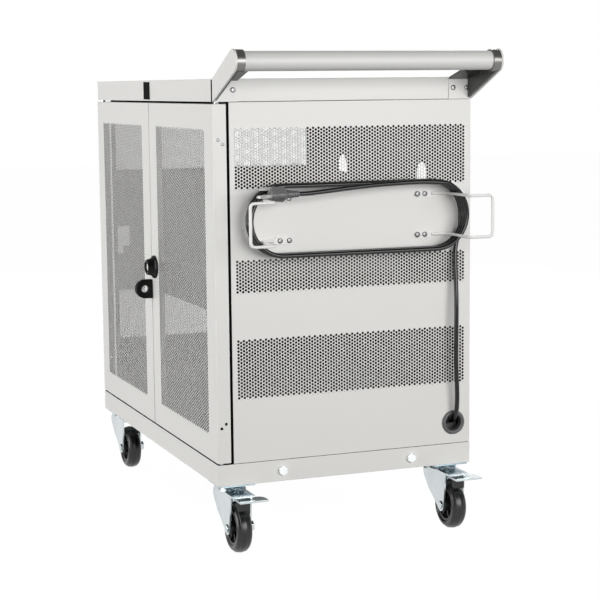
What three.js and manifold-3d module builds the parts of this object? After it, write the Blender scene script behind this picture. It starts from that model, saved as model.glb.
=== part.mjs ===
// A laptop charging cart: a perforated steel cabinet on casters, with two doors, a push handle and
// two hooks that hold its wound mains lead. Millimetres, +Z up, doors facing -Y, handle at the +X end.
import * as THREE from "three";
import { mergeVertices } from "three/addons/utils/BufferGeometryUtils.js";
import Module from "manifold-3d";

const wasm = await Module();
wasm.setup();

// Cabinet
const cabinetLength = 668;
const cabinetDepth = 415;
const cabinetHeight = 600;
const sheet = 2;
const lidSkirt = 33;
const lidLip = 30;
const baseSkirt = 32.6;
const baseLip = 74;
const panelFlange = 20;
const seat = 0.3;
const holeSides = 10;

// Doors
const doorFlange = 20.5;
const doorToLid = 3;
const doorToBase = 2;
const doorToPanel = 4;
const doorToDoor = 3;
const pivotInset = 8;
const pivotSetback = 9;
const pinRadius = 4;
const pinHeadRadius = 5.5;
const pinHeadHeight = 3;
const pinReach = 8;
const runningGap = 0.35;

// Ventilation fields, as plain grids of openings
const ventPitch = 36;
const ventBar = 12;
const doorVentSide = 41;
const doorVentEnd = 36.5;
const panelVentSide = 10;
const upperVentHeight = 440.5;
const middleVentHeight = 287;
const lowerVentHeight = 130;
const wideVentTall = 88;
const narrowVentTall = 49;

// Lock and padlock tabs
const knobHeight = 298;
const knobInset = 20.5;
const knobBaseRadius = 18.5;
const knobEndRadius = 12;
const knobLength = 15;
const knobRim = 3;
const knobDish = 4;
const knobDishRadius = 9;
const lockShaftRadius = 8;
const lockShaftEnd = 3;
const camThickness = 3;
const camLength = 45;
const camWidth = 20;
const camTipWidth = 13;
const tabHeight = 260;
const tabReach = 28;
const tabTall = 31;
const tabThickness = 3;
const tabHoleRadius = 6;

// Plate on the lid
const badgeWidth = 33;
const badgeTall = 28;
const badgeThickness = 1;
const badgeOffset = -5.5;

// Inside
const shelfHeight = 300;
const shelfLip = 18;
const shelfFascia = 58;
const shelfSetback = 14;
const rackBase = 2;
const finHeight = 88;
const finThickness = 3;
const finDepth = 270;
const finCount = 9;
const rackMargin = 24;
const handHoleWidth = 40;
const handHoleTall = 31;
const handHoleDrop = 135;
const handHoleShoulder = 10;

// Power strip
const stripLength = 500;
const stripDepth = 40;
const stripTall = 44;
const stripToPanel = 34;
const outletCount = 8;
const outletSize = 32;
const outletSink = 2;
const switchLength = 20;
const switchTall = 14;
const switchSink = 8;
const switchProud = 2.5;
const switchGap = 1.2;
const switchRoom = 60;

// Push handle
const handleRadius = 14;
const handleReach = 90;
const handleRise = 23.5;
const collarRadius = 16.3;
const collarLength = 12;
const collarFloor = 5;
const bracketSheet = 3;
const bracketEndRadius = 17;
const bracketFlange = 38;
const bracketFlangeSheet = 2;
const gussetThickness = 3;
const linerInset = 2;

// Cord hooks on the handle-side panel
const wireRadius = 2.3;
const hookSpread = 154;
const hookCentreHeight = 393.5;
const hookTall = 62;
const hookLeg = 26;
const hookReach = 80;
const hookArm = 38;
const hookBend = 7;
const hookTabLength = 26;
const hookTabTall = 11;
const hookTabSheet = 2;

// Grommet
const grommetInset = 28.8;
const grommetHeight = 66.3;
const grommetFlangeRadius = 19;
const grommetNeckRadius = 15;
const grommetBoreRadius = 12.5;
const grommetProud = 3.5;
const grommetLip = 5;

// Base bolts
const boltSpread = 106;
const boltDrop = 16.6;
const boltHeadRadius = 7.5;
const boltHeadHeight = 5;
const boltShankRadius = 4;
const boltLength = 14;

// Casters
const wheelRadius = 37.5;
const wheelWidth = 24;
const tyreThickness = 11.5;
const tyreInnerWidth = 20.4;
const tyreCheekDrop = 4;
const tyreShoulderWidth = 16.8;
const tyreShoulderDrop = 1.2;
const tyreCrownWidth = 4.8;
const hubWidth = 28;
const hubWebWidth = 8;
const hubRimWidth = 20;
const hubRimThickness = 4;
const bossRadius = 10;
const axleRadius = 5;
const axleHeadRadius = 6.5;
const axleHeadHeight = 2;
const axleNutRadius = 8;
const axleNutHeight = 6;
const casterTrail = 27;
const casterInset = 31;
const casterPlate = 56;
const casterPlateSheet = 3;
const casterHoleRadius = 3.4;
const casterHoleSpread = 20;
const raceRadius = 22;
const raceTopRadius = 17.5;
const raceLowerRadius = 20;
const raceHeight = 8;
const kingpinRadius = 5;
const kingpinHeadRadius = 9;
const kingpinHeadHeight = 3;
const forkSheet = 2.5;
const forkToWheel = 1;
const forkRear = 30;
const forkFront = 42;
const forkBrow = 10;
const forkWebTall = 14;
const forkHeel = [[-27, 35.5], [-14.5, 18.5]];
const crownFront = 56;
const forkTip = 10;
const crownGap = 14;

// Brakes on the two casters at the handle end
const pedalNearWidth = 10;
const pedalFarWidth = 34.5;
const pedalReach = 68;
const pedalCornerRadius = 12;
const pedalSheet = 3;
const pedalPivotAhead = 36;
const pedalPivotRise = 44.5;
const pedalBossRadius = 5;
const pedalTreadRise = 4;
const pedalShoeWidth = 18;
const pedalShoeLength = 13;
const pedalShoeAhead = 7;
const pedalShoeDrop = 8;
const pedalShoeToeDrop = 13;
const pedalGap = 1;

// Mains lead
const cordRadius = 3.5;
const cordFirstLayer = 9;
const cordLayerStep = 7.7;
const windingArcInset = 32;
const windingTurns = 3;
const windingArcSteps = 10;
const plugLength = 24;
const plugWidth = 23;
const plugTall = 19;
const reliefLength = 20;
const reliefRadius = 6;
const reliefEndRadius = 4.5;
const bladeLength = 17;
const bladeWidth = 6.4;
const bladeThickness = 1.6;
const bladeSpread = 12.7;
const groundRadius = 2.4;
const groundOffset = 11.9;
const groundExtra = 2;
const plugRoll = -0.6;
const plugChamfer = 2.5;
const plugRim = 1.6;
const carrierDepth = 4;

// Places worked out from the sizes above
const halfLength = cabinetLength / 2;
const halfDepth = cabinetDepth / 2;
const casterHeight = 2 * wheelRadius + crownGap + forkSheet + raceHeight + casterPlateSheet;
const baseBottom = casterHeight;
const baseTop = baseBottom + baseSkirt;
const lidTop = baseBottom + cabinetHeight;
const lidBottom = lidTop - lidSkirt;
const doorBottom = baseTop + doorToBase;
const doorTop = lidBottom - doorToLid;
const jamb = -halfDepth + doorFlange + doorToPanel;
const panelCentre = (jamb + halfDepth) / 2;
const pivotX = halfLength - pivotInset;
const pivotY = -halfDepth + pivotSetback;
const shelfTop = baseBottom + shelfHeight;
const rearFace = halfDepth - sheet - seat;

// A geometry's closed surface as a solid that can be joined and cut
function solidFrom(geometry) {
  const bare = geometry.clone();
  bare.deleteAttribute("normal");
  bare.deleteAttribute("uv");
  const merged = mergeVertices(bare, 1e-4);
  const triangles = [];
  for (let i = 0; i < merged.index.count; i += 3) {
    const [a, b, c] = [0, 1, 2].map((corner) => merged.index.getX(i + corner));
    if (a !== b && b !== c && c !== a) triangles.push(a, b, c);
  }
  const vertProperties = Float32Array.from(merged.attributes.position.array);
  const triVerts = Uint32Array.from(triangles);
  return new wasm.Manifold(new wasm.Mesh({ numProp: 3, vertProperties, triVerts }));
}

function geometryFrom(solid) {
  const mesh = solid.getMesh();
  const geometry = new THREE.BufferGeometry();
  geometry.setAttribute("position", new THREE.BufferAttribute(mesh.vertProperties, 3));
  geometry.setIndex(new THREE.BufferAttribute(mesh.triVerts, 1));
  geometry.computeVertexNormals();
  return geometry;
}

function joined(...solids) {
  return solids.reduce((whole, piece) => whole.add(piece));
}

function cut(whole, ...tools) {
  return tools.reduce((rest, tool) => rest.subtract(tool), whole);
}

// A box between two corners
function block(low, high) {
  const size = high.map((value, i) => value - low[i]);
  const middle = high.map((value, i) => (value + low[i]) / 2);
  return solidFrom(new THREE.BoxGeometry(...size).translate(...middle));
}

// A round bar or cone between two points
function rod(start, end, radius, sides = 12, endRadius = radius) {
  const from = new THREE.Vector3(...start);
  const along = new THREE.Vector3(...end).sub(from);
  const bar = new THREE.CylinderGeometry(endRadius, radius, along.length(), sides);
  bar.translate(0, along.length() / 2, 0);
  const turn = new THREE.Quaternion().setFromUnitVectors(new THREE.Vector3(0, 1, 0), along.normalize());
  return solidFrom(bar.applyQuaternion(turn).translate(from.x, from.y, from.z));
}

// A turned piece: rows of [radius, height] about an axis through the origin
function turned(profile, axis, sides = 20) {
  const points = profile.map(([radius, height]) => new THREE.Vector2(radius, height));
  const lathe = new THREE.LatheGeometry(points, sides);
  if (axis === "x") lathe.rotateZ(-Math.PI / 2);
  if (axis === "z") lathe.rotateX(Math.PI / 2);
  return solidFrom(lathe);
}

// A flat plate in plane xy, xz or yz, whose thickness runs from one value to another on the third axis
function plate(outline, plane, from, to, holes = []) {
  const shape = new THREE.Shape(outline.map(([u, v]) => new THREE.Vector2(u, v)));
  for (const [u, v, radius] of holes) {
    const outside = circlePoints(u, v, radius / Math.cos(Math.PI / holeSides), holeSides);
    shape.holes.push(new THREE.Path(outside.map(([a, b]) => new THREE.Vector2(a, b))));
  }
  const flat = new THREE.ExtrudeGeometry(shape, { depth: to - from, bevelEnabled: false });
  const [x, y, z] = [new THREE.Vector3(1, 0, 0), new THREE.Vector3(0, 1, 0), new THREE.Vector3(0, 0, 1)];
  const turn = new THREE.Matrix4();
  if (plane === "xz") turn.makeBasis(x, z, y.clone().negate()).setPosition(0, to, 0);
  if (plane === "yz") turn.makeBasis(y, z, x).setPosition(from, 0, 0);
  if (plane === "xy") turn.setPosition(0, 0, from);
  return solidFrom(flat.applyMatrix4(turn));
}

function circlePoints(u, v, radius, count = 12) {
  return Array.from({ length: count }, (_, i) => {
    const angle = (2 * Math.PI * i) / count;
    return [u + radius * Math.cos(angle), v + radius * Math.sin(angle)];
  });
}

// The tight outline round a set of points, anticlockwise
function wrapped(points) {
  const sorted = [...points].sort((a, b) => a[0] - b[0] || a[1] - b[1]);
  const half = (list) => {
    const chain = [];
    for (const point of list) {
      while (chain.length > 1) {
        const [a, b] = chain.slice(-2);
        const turn = (b[0] - a[0]) * (point[1] - a[1]) - (b[1] - a[1]) * (point[0] - a[0]);
        if (turn > 1e-6) break;
        chain.pop();
      }
      chain.push(point);
    }
    return chain.slice(0, -1);
  };
  return [...half(sorted), ...half(sorted.reverse())];
}

function rectangle(u0, v0, u1, v1) {
  return [[u0, v0], [u1, v0], [u1, v1], [u0, v1]];
}

// A path given by its ring centres, so that bends get more rings than straight runs
class RingPath extends THREE.Curve {
  constructor(points) {
    super();
    this.points = points;
  }

  getPoint(t, target = new THREE.Vector3()) {
    const place = t * (this.points.length - 1);
    const index = Math.min(Math.floor(place), this.points.length - 2);
    return target.lerpVectors(this.points[index], this.points[index + 1], place - index);
  }

  getUtoTmapping(u) {
    return u;
  }
}

function tube(points, radius, sides) {
  const section = new THREE.Shape(circlePoints(0, 0, radius, sides).map(([u, v]) => new THREE.Vector2(u, v)));
  const path = new RingPath(points);
  const extruded = { steps: points.length - 1, extrudePath: path, bevelEnabled: false };
  return solidFrom(new THREE.ExtrudeGeometry(section, extruded));
}

// Ring centres along straight runs with round corners
function bentPath(corners, radius, bendSteps = 4) {
  const points = [corners[0]];
  for (let i = 1; i < corners.length - 1; i += 1) {
    const back = corners[i - 1].clone().sub(corners[i]).setLength(radius).add(corners[i]);
    const ahead = corners[i + 1].clone().sub(corners[i]).setLength(radius).add(corners[i]);
    points.push(...new THREE.QuadraticBezierCurve3(back, corners[i], ahead).getPoints(bendSteps));
  }
  points.push(corners[corners.length - 1]);
  return points;
}

const paint = () => new THREE.MeshStandardMaterial({ color: 0xdcdbd6, roughness: 0.5, metalness: 0.1 });
const zinc = () => new THREE.MeshStandardMaterial({ color: 0xbfc7ca, roughness: 0.3, metalness: 0.9 });
const blackPlastic = () => new THREE.MeshStandardMaterial({ color: 0x1c1c1c, roughness: 0.5 });
const darkMoulding = () => new THREE.MeshStandardMaterial({ color: 0x4a4a4a, roughness: 0.35 });
const greyMoulding = () => new THREE.MeshStandardMaterial({ color: 0x77787a, roughness: 0.5 });
const rubber = () => new THREE.MeshStandardMaterial({ color: 0x3a3a3a, roughness: 0.75 });
const nickel = () => new THREE.MeshStandardMaterial({ color: 0xd8d6d0, roughness: 0.2, metalness: 1 });

function addPiece(group, name, solid, material) {
  const piece = new THREE.Mesh(geometryFrom(solid), material);
  piece.name = name;
  group.add(piece);
  return piece;
}

const cart = new THREE.Group();
const cordGroup = new THREE.Group();

// Base: a floor with a skirt and a wide lip below that carries the casters
function baseTray() {
  const outer = block([-halfLength, -halfDepth, baseBottom], [halfLength, halfDepth, baseTop]);
  const hollow = block(
    [-halfLength + sheet, -halfDepth + sheet, baseBottom + sheet],
    [halfLength - sheet, halfDepth - sheet, baseTop - sheet],
  );
  const mouth = block(
    [-halfLength + baseLip, -halfDepth + baseLip, baseBottom - sheet],
    [halfLength - baseLip, halfDepth - baseLip, baseBottom + 2 * sheet],
  );
  return cut(outer, hollow, mouth, ...boltHoles(), ...pinHoles(baseTop - sheet));
}

function topCover() {
  const outer = block([-halfLength, -halfDepth, lidBottom], [halfLength, halfDepth, lidTop]);
  const hollow = block(
    [-halfLength + sheet, -halfDepth + sheet, lidBottom + sheet],
    [halfLength - sheet, halfDepth - sheet, lidTop - sheet],
  );
  const mouth = block(
    [-halfLength + lidLip, -halfDepth + lidLip, lidBottom - sheet],
    [halfLength - lidLip, halfDepth - lidLip, lidBottom + 2 * sheet],
  );
  return cut(outer, hollow, mouth, ...pinHoles(lidBottom));
}

// Holes for the door pins through a sheet whose lower face is given
function pinHoles(sheetBottom) {
  return [-1, 1].map((side) => {
    const from = [side * pivotX, pivotY, sheetBottom - sheet];
    const to = [side * pivotX, pivotY, sheetBottom + 2 * sheet];
    return rod(from, to, pinRadius + seat);
  });
}

function boltPlaces() {
  const places = [];
  for (const end of [1, -1]) {
    for (const side of [-1, 1]) places.push({ end, y: side * boltSpread, z: baseBottom + boltDrop });
  }
  return places;
}

function boltHoles() {
  return boltPlaces().map(({ end, y, z }) => {
    const from = [end * (halfLength + sheet), y, z];
    const to = [end * (halfLength - 2 * sheet), y, z];
    return rod(from, to, boltShankRadius + seat);
  });
}

function baseBolt({ end, y, z }) {
  const face = halfLength + seat;
  const head = rod([end * face, y, z], [end * (face + boltHeadHeight), y, z], boltHeadRadius, 6);
  const shankEnd = face + boltHeadHeight - boltLength;
  const shank = rod([end * (face + boltHeadHeight / 2), y, z], [end * shankEnd, y, z], boltShankRadius);
  return joined(head, shank);
}

addPiece(cart, "base_tray", baseTray(), paint());
addPiece(cart, "top_cover", topCover(), paint());
boltPlaces().forEach((place, i) => {
  addPiece(cart, `base_bolt_${i + 1}`, baseBolt(place), zinc());
});

// A grid of openings between two corners of a sheet, each as a tool that cuts through it
function ventTools(low, high, through) {
  const counts = low.map((value, i) => Math.max(1, Math.round((high[i] - value) / ventPitch)));
  const cell = low.map((value, i) => (high[i] - value) / counts[i]);
  const tools = [];
  for (let i = 0; i < counts[0]; i += 1) {
    for (let k = 0; k < counts[1]; k += 1) {
      const start = [low[0] + i * cell[0] + ventBar / 2, low[1] + k * cell[1] + ventBar / 2];
      const end = [start[0] + cell[0] - ventBar, start[1] + cell[1] - ventBar];
      tools.push(through(start, end));
    }
  }
  return tools;
}

// Side panels: pans with a flange all round, standing on the base under the lid
function sidePanel(end, openings) {
  const [outside, inside] = [end * halfLength, end * (halfLength - panelFlange)];
  const back = end * (halfLength - sheet);
  const [bottom, top] = [baseTop + seat, lidBottom - seat];
  const pan = block(
    [Math.min(outside, inside), jamb, bottom],
    [Math.max(outside, inside), halfDepth, top],
  );
  const beyond = end * (halfLength - panelFlange - sheet);
  const pocket = block(
    [Math.min(back, beyond), jamb + sheet, bottom + sheet],
    [Math.max(back, beyond), halfDepth - sheet, top - sheet],
  );
  const through = (start, end) => block(
    [Math.min(outside, back) - sheet, ...start],
    [Math.max(outside, back) + sheet, ...end],
  );
  const bands = [
    [upperVentHeight, wideVentTall],
    [middleVentHeight, narrowVentTall],
    [lowerVentHeight, wideVentTall],
  ];
  const vents = bands.flatMap(([height, tall]) => {
    const low = [jamb + panelVentSide, baseBottom + height];
    return ventTools(low, [halfDepth - panelVentSide, low[1] + tall], through);
  });
  return cut(pan, pocket, ...openings, ...vents);
}

const grommetY = halfDepth - grommetInset;
const grommetZ = baseBottom + grommetHeight;
const grommetHole = rod(
  [halfLength - 2 * sheet, grommetY, grommetZ],
  [halfLength + sheet, grommetY, grommetZ],
  grommetNeckRadius + seat,
  24,
);
addPiece(cart, "handle_side_panel", sidePanel(1, [grommetHole]), paint());
addPiece(cart, "far_side_panel", sidePanel(-1, []), paint());

// Rear panel between the side panels' rear flanges, with two hand holes
function rearPanel() {
  const reach = halfLength - sheet - seat;
  const clear = sheet + 2 * seat;
  const outline = rectangle(-reach, baseTop + clear, reach, lidBottom - clear);
  const panel = plate(outline, "xz", rearFace - sheet, rearFace);
  const holes = [-1, 1].map((side) => {
    const middle = (side * halfLength) / 2;
    const half = handHoleWidth / 2;
    const top = lidTop - handHoleDrop;
    const shoulder = top - handHoleShoulder;
    const arch = circlePoints(middle, shoulder, half).map(([u, v]) => [u, Math.min(v, top)]);
    const foot = [[middle - half, top - handHoleTall], [middle + half, top - handHoleTall]];
    const upper = arch.filter((point) => point[1] >= shoulder);
    return plate(wrapped([...upper, ...foot]), "xz", rearFace - 2 * sheet, rearFace + sheet);
  });
  return cut(panel, ...holes);
}

addPiece(cart, "rear_panel", rearPanel(), paint());

// Middle shelf with turned-down lips and a deep front, and divider racks on the shelf and the floor
const shelfFront = jamb + sheet + seat + shelfSetback;
const shelfRear = rearFace - sheet - seat;
const shelfReach = halfLength - sheet - seat;

function middleShelf() {
  const low = shelfTop - shelfLip;
  const outer = block([-shelfReach, shelfFront, low], [shelfReach, shelfRear, shelfTop]);
  const under = block(
    [-shelfReach - sheet, shelfFront + sheet, low - sheet],
    [shelfReach + sheet, shelfRear - sheet, shelfTop - sheet],
  );
  const fascia = block(
    [-shelfReach, shelfFront, shelfTop - shelfFascia],
    [shelfReach, shelfFront + sheet, shelfTop],
  );
  return joined(cut(outer, under), fascia);
}

function dividerRack(floor) {
  const reach = halfLength - panelFlange - rackMargin;
  const front = shelfFront + sheet;
  const foot = floor + seat;
  const pieces = [block([-reach, front, foot], [reach, front + finDepth, foot + rackBase])];
  const pitch = (2 * reach - finThickness) / (finCount - 1);
  for (let i = 0; i < finCount; i += 1) {
    const left = -reach + i * pitch;
    pieces.push(block([left, front, foot], [left + finThickness, front + finDepth, foot + finHeight]));
  }
  return joined(...pieces);
}

addPiece(cart, "middle_shelf", middleShelf(), paint());
addPiece(cart, "upper_divider_rack", dividerRack(shelfTop), blackPlastic());
addPiece(cart, "lower_divider_rack", dividerRack(baseTop), blackPlastic());

// Power strip on the rear panel, in line with the grommet, with outlets and a rocker switch in front
const stripRight = halfLength - stripToPanel;
const stripLeft = stripRight - stripLength;
const stripRear = shelfRear;
const stripFront = stripRear - stripDepth;
const stripBottom = grommetZ - stripTall / 2;
const switchX = stripRight - switchLength;

function powerStrip() {
  const body = block([stripLeft, stripFront, stripBottom], [stripRight, stripRear, stripBottom + stripTall]);
  const room = stripLength - switchRoom;
  const tools = Array.from({ length: outletCount }, (_, i) => {
    const x = stripLeft + (room * (i + 0.5)) / outletCount;
    const half = outletSize / 2;
    return block(
      [x - half, stripFront - outletSink, grommetZ - half],
      [x + half, stripFront + outletSink, grommetZ + half],
    );
  });
  const [across, up] = [switchLength / 2 + switchGap, switchTall / 2 + switchGap];
  tools.push(block(
    [switchX - across, stripFront - switchSink, grommetZ - up],
    [switchX + across, stripFront + switchSink, grommetZ + up],
  ));
  return cut(body, ...tools);
}

function rockerSwitch() {
  const half = switchLength / 2;
  const deep = stripFront + switchSink - switchGap;
  const outline = [
    [switchX - half, stripFront - switchProud],
    [switchX, stripFront - switchProud / 2],
    [switchX + half, stripFront - switchProud],
    [switchX + half / 2, deep],
    [switchX - half / 2, deep],
  ].reverse();
  return plate(outline, "xy", grommetZ - switchTall / 2, grommetZ + switchTall / 2);
}

addPiece(cart, "power_strip", powerStrip(), greyMoulding());
addPiece(cart, "power_switch", rockerSwitch(), blackPlastic());

// Doors: pans whose outer edge wraps round the cabinet's corner, hung on a pin above and below
function door(side, tools) {
  const meeting = (side * doorToDoor) / 2;
  const outside = side * halfLength;
  const [inner, outer] = [meeting + side * sheet, outside - side * sheet];
  const back = -halfDepth + doorFlange;
  const pan = block(
    [Math.min(meeting, outside), -halfDepth, doorBottom],
    [Math.max(meeting, outside), back, doorTop],
  );
  const pocket = block(
    [Math.min(inner, outer), -halfDepth + sheet, doorBottom + sheet],
    [Math.max(inner, outer), back + sheet, doorTop - sheet],
  );
  const pinHole = rod(
    [side * pivotX, pivotY, doorBottom - sheet],
    [side * pivotX, pivotY, doorTop + sheet],
    pinRadius + runningGap,
  );
  const [near, far] = [meeting + side * doorVentSide, outside - side * doorVentSide];
  const vents = ventTools(
    [Math.min(near, far), doorBottom + doorVentEnd],
    [Math.max(near, far), doorTop - doorVentEnd],
    (start, end) => block(
      [start[0], -halfDepth - sheet, start[1]],
      [end[0], -halfDepth + 2 * sheet, end[1]],
    ),
  );
  return cut(pan, pocket, pinHole, ...tools, ...vents);
}

// A headed pin through the base's floor or the lid's lip into the door's edge
function doorPin(side, sheetFace, doorEdge, up) {
  const place = (z) => [side * pivotX, pivotY, z];
  const under = sheetFace - up * (sheet + seat);
  const head = rod(place(under - up * pinHeadHeight), place(under), pinHeadRadius);
  const inHead = under - (up * pinHeadHeight) / 2;
  const shank = rod(place(inHead), place(doorEdge + up * pinReach), pinRadius);
  return joined(head, shank);
}

const lockX = knobInset;
const lockZ = baseBottom + knobHeight;
const lockHole = rod(
  [lockX, -halfDepth - sheet, lockZ],
  [lockX, -halfDepth + 2 * sheet, lockZ],
  lockShaftRadius + runningGap,
  24,
);
addPiece(cart, "left_door", door(-1, []), paint());
addPiece(cart, "right_door", door(1, [lockHole]), paint());
for (const [side, word] of [[-1, "left"], [1, "right"]]) {
  addPiece(cart, `${word}_lower_hinge_pin`, doorPin(side, baseTop, doorBottom, 1), zinc());
  addPiece(cart, `${word}_upper_hinge_pin`, doorPin(side, lidBottom, doorTop, -1), zinc());
}

// Lock: a tapered knob with a dished end, and a cam behind the doors that turns with it
const lockGroup = new THREE.Group();
lockGroup.position.set(lockX, -halfDepth, lockZ);
cart.add(lockGroup);
const camFront = doorFlange + runningGap;
const knobProfile = [
  [0, camFront + camThickness + lockShaftEnd],
  [lockShaftRadius, camFront + camThickness + lockShaftEnd],
  [lockShaftRadius, -seat],
  [knobBaseRadius, -seat],
  [knobBaseRadius, -seat - knobRim],
  [knobEndRadius, -knobLength],
  [knobDishRadius, -knobLength],
  [0, -knobLength + knobDish],
].reverse();
addPiece(lockGroup, "lock_knob", turned(knobProfile, "y"), blackPlastic());

function lockCam() {
  const round = circlePoints(0, 0, camWidth / 2 + runningGap);
  const tip = rectangle(-camTipWidth / 2, -camLength, camTipWidth / 2, 0);
  const hole = [[0, 0, lockShaftRadius + seat]];
  return plate(wrapped([...round, ...tip]), "xz", camFront, camFront + camThickness, hole);
}

addPiece(lockGroup, "lock_cam", lockCam(), zinc());

// Padlock tabs: one D-shaped plate standing on each door beside the meeting gap
function padlockTab(side) {
  const middle = baseBottom + tabHeight;
  const foot = -halfDepth - seat;
  const tip = foot - tabReach;
  const half = tabTall / 2;
  const round = circlePoints(tip + half, middle, half, 20).map(([u, v]) => [Math.min(u, foot), v]);
  const base = [[foot, middle - half], [foot, middle + half]];
  const near = side * (doorToDoor / 2 + seat);
  const far = near + side * tabThickness;
  const hole = [[tip + half, middle, tabHoleRadius]];
  return plate(wrapped([...round, ...base]), "yz", Math.min(near, far), Math.max(near, far), hole);
}

addPiece(cart, "left_padlock_tab", padlockTab(-1), blackPlastic());
addPiece(cart, "right_padlock_tab", padlockTab(1), blackPlastic());

// Bare plate on the lid's front skirt
const badgeMiddle = lidBottom + lidSkirt / 2;
const badge = block(
  [badgeOffset - badgeWidth / 2, -halfDepth - seat - badgeThickness, badgeMiddle - badgeTall / 2],
  [badgeOffset + badgeWidth / 2, -halfDepth - seat, badgeMiddle + badgeTall / 2],
);
addPiece(cart, "badge_plate", badge, blackPlastic());

// Push handle: a tube between two moulded ends, each inside a painted bracket on the lid's skirt
const handleX = halfLength + handleReach;
const handleZ = lidTop + handleRise;
const bracketInner = halfDepth - bracketSheet;
const collarOuter = bracketInner - seat;
const collarInner = collarOuter - collarLength;
const tubeEnd = collarOuter - collarFloor;
const flangeFace = halfLength + seat + bracketFlangeSheet;

function across(side, from, to) {
  return [Math.min(side * from, side * to), Math.max(side * from, side * to)];
}

function handleBracket(side) {
  const root = rectangle(halfLength + seat, lidBottom, flangeFace, lidTop);
  const outline = wrapped([...root, ...circlePoints(handleX, handleZ, bracketEndRadius, 24)]);
  const cheek = plate(outline, "xz", ...across(side, bracketInner, halfDepth));
  const [low, high] = across(side, halfDepth - bracketFlange, halfDepth);
  const flange = block([halfLength + seat, low, lidBottom], [flangeFace, high, lidTop]);
  return joined(cheek, flange);
}

function handleEnd(side) {
  const [collarFrom, collarTo] = [side * collarInner, side * collarOuter];
  const collar = rod([handleX, collarFrom, handleZ], [handleX, collarTo, handleZ], collarRadius, 24);
  const foot = flangeFace + seat;
  const liner = plate(
    wrapped([
      [foot, lidBottom + linerInset],
      [foot, lidTop],
      ...circlePoints(handleX, handleZ, collarRadius, 24),
    ]),
    "xz",
    ...across(side, collarOuter - gussetThickness, collarOuter),
  );
  const web = plate(
    [
      [foot, lidTop - gussetThickness],
      [handleX, handleZ - gussetThickness],
      [handleX, handleZ],
      [foot, lidTop],
    ],
    "xz",
    ...across(side, halfDepth - bracketFlange, collarOuter),
  );
  const boreEnd = side * (tubeEnd + seat);
  const bore = rod([handleX, 0, handleZ], [handleX, boreEnd, handleZ], handleRadius + seat, 24);
  return cut(joined(collar, liner, web), bore);
}

const grip = rod([handleX, -tubeEnd, handleZ], [handleX, tubeEnd, handleZ], handleRadius, 24);
addPiece(cart, "handle_tube", grip, paint());
for (const [side, word] of [[-1, "front"], [1, "rear"]]) {
  addPiece(cart, `handle_bracket_${word}`, handleBracket(side), paint());
  addPiece(cart, `handle_end_${word}`, handleEnd(side), darkMoulding());
}

// Cord hooks: a bent wire loop whose flattened ends are screwed to the panel
const hookZ = baseBottom + hookCentreHeight;
const panelFace = halfLength + seat;

function cordHook(side) {
  const wireX = panelFace + wireRadius;
  const postY = panelCentre + side * hookSpread;
  const legY = postY - side * hookLeg;
  const armY = postY + side * hookArm;
  const outX = halfLength + hookReach;
  const [top, bottom] = [hookZ + hookTall / 2, hookZ - hookTall / 2];
  const corners = [
    [wireX, legY, top],
    [wireX, postY, top],
    [outX, postY, top],
    [outX, armY, top],
    [outX, armY, bottom],
    [outX, postY, bottom],
    [wireX, postY, bottom],
    [wireX, legY, bottom],
  ].map((corner) => new THREE.Vector3(...corner));
  const wire = tube(bentPath(corners, hookBend), wireRadius, 8);
  const tabs = [top, bottom].map((z) => {
    const tabEnd = legY - side * hookTabLength;
    const [low, high] = across(1, legY + side * wireRadius, tabEnd);
    return block(
      [panelFace, low, z - hookTabTall / 2],
      [panelFace + hookTabSheet, high, z + hookTabTall / 2],
    );
  });
  return joined(wire, ...tabs);
}

addPiece(cart, "cord_hook_front", cordHook(-1), paint());
addPiece(cart, "cord_hook_rear", cordHook(1), paint());

// Grommet: a flanged bush in the panel that the lead passes through
function cableGrommet() {
  const back = -sheet - grommetLip;
  const profile = [
    [grommetBoreRadius, back],
    [grommetNeckRadius, back],
    [grommetNeckRadius, seat],
    [grommetFlangeRadius, seat],
    [grommetFlangeRadius, grommetProud / 2],
    [(grommetFlangeRadius + grommetBoreRadius) / 2, grommetProud],
    [grommetBoreRadius, grommetProud / 2],
    [grommetBoreRadius, back],
  ];
  return turned(profile, "x");
}

const grommet = addPiece(cart, "cable_grommet", cableGrommet(), greyMoulding());
grommet.position.set(halfLength, grommetY, grommetZ);

// Casters, each in a group whose origin is on its swivel axis at the floor
const raceTop = casterHeight - casterPlateSheet;
const crownTop = raceTop - raceHeight;
const crownBottom = crownTop - forkSheet;
const legInner = hubWidth / 2 + forkToWheel;
const legOuter = legInner + forkSheet;

function casterPlateSolid() {
  const half = casterPlate / 2;
  const holes = [];
  for (const u of [-casterHoleSpread, casterHoleSpread]) {
    for (const v of [-casterHoleSpread, casterHoleSpread]) holes.push([u, v, casterHoleRadius]);
  }
  const top = casterHeight - seat;
  const flat = plate(rectangle(-half, -half, half, half), "xy", raceTop, top, holes);
  const raceMiddle = raceTop - raceHeight / 2;
  const race = rod([0, 0, raceTop + seat], [0, 0, raceMiddle], raceTopRadius, 16, raceRadius);
  const pin = rod([0, 0, raceTop], [0, 0, crownBottom - seat - kingpinHeadHeight], kingpinRadius);
  const headTop = crownBottom - seat;
  const head = rod([0, 0, headTop], [0, 0, headTop - kingpinHeadHeight], kingpinHeadRadius);
  return joined(flat, race, pin, head);
}

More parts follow.
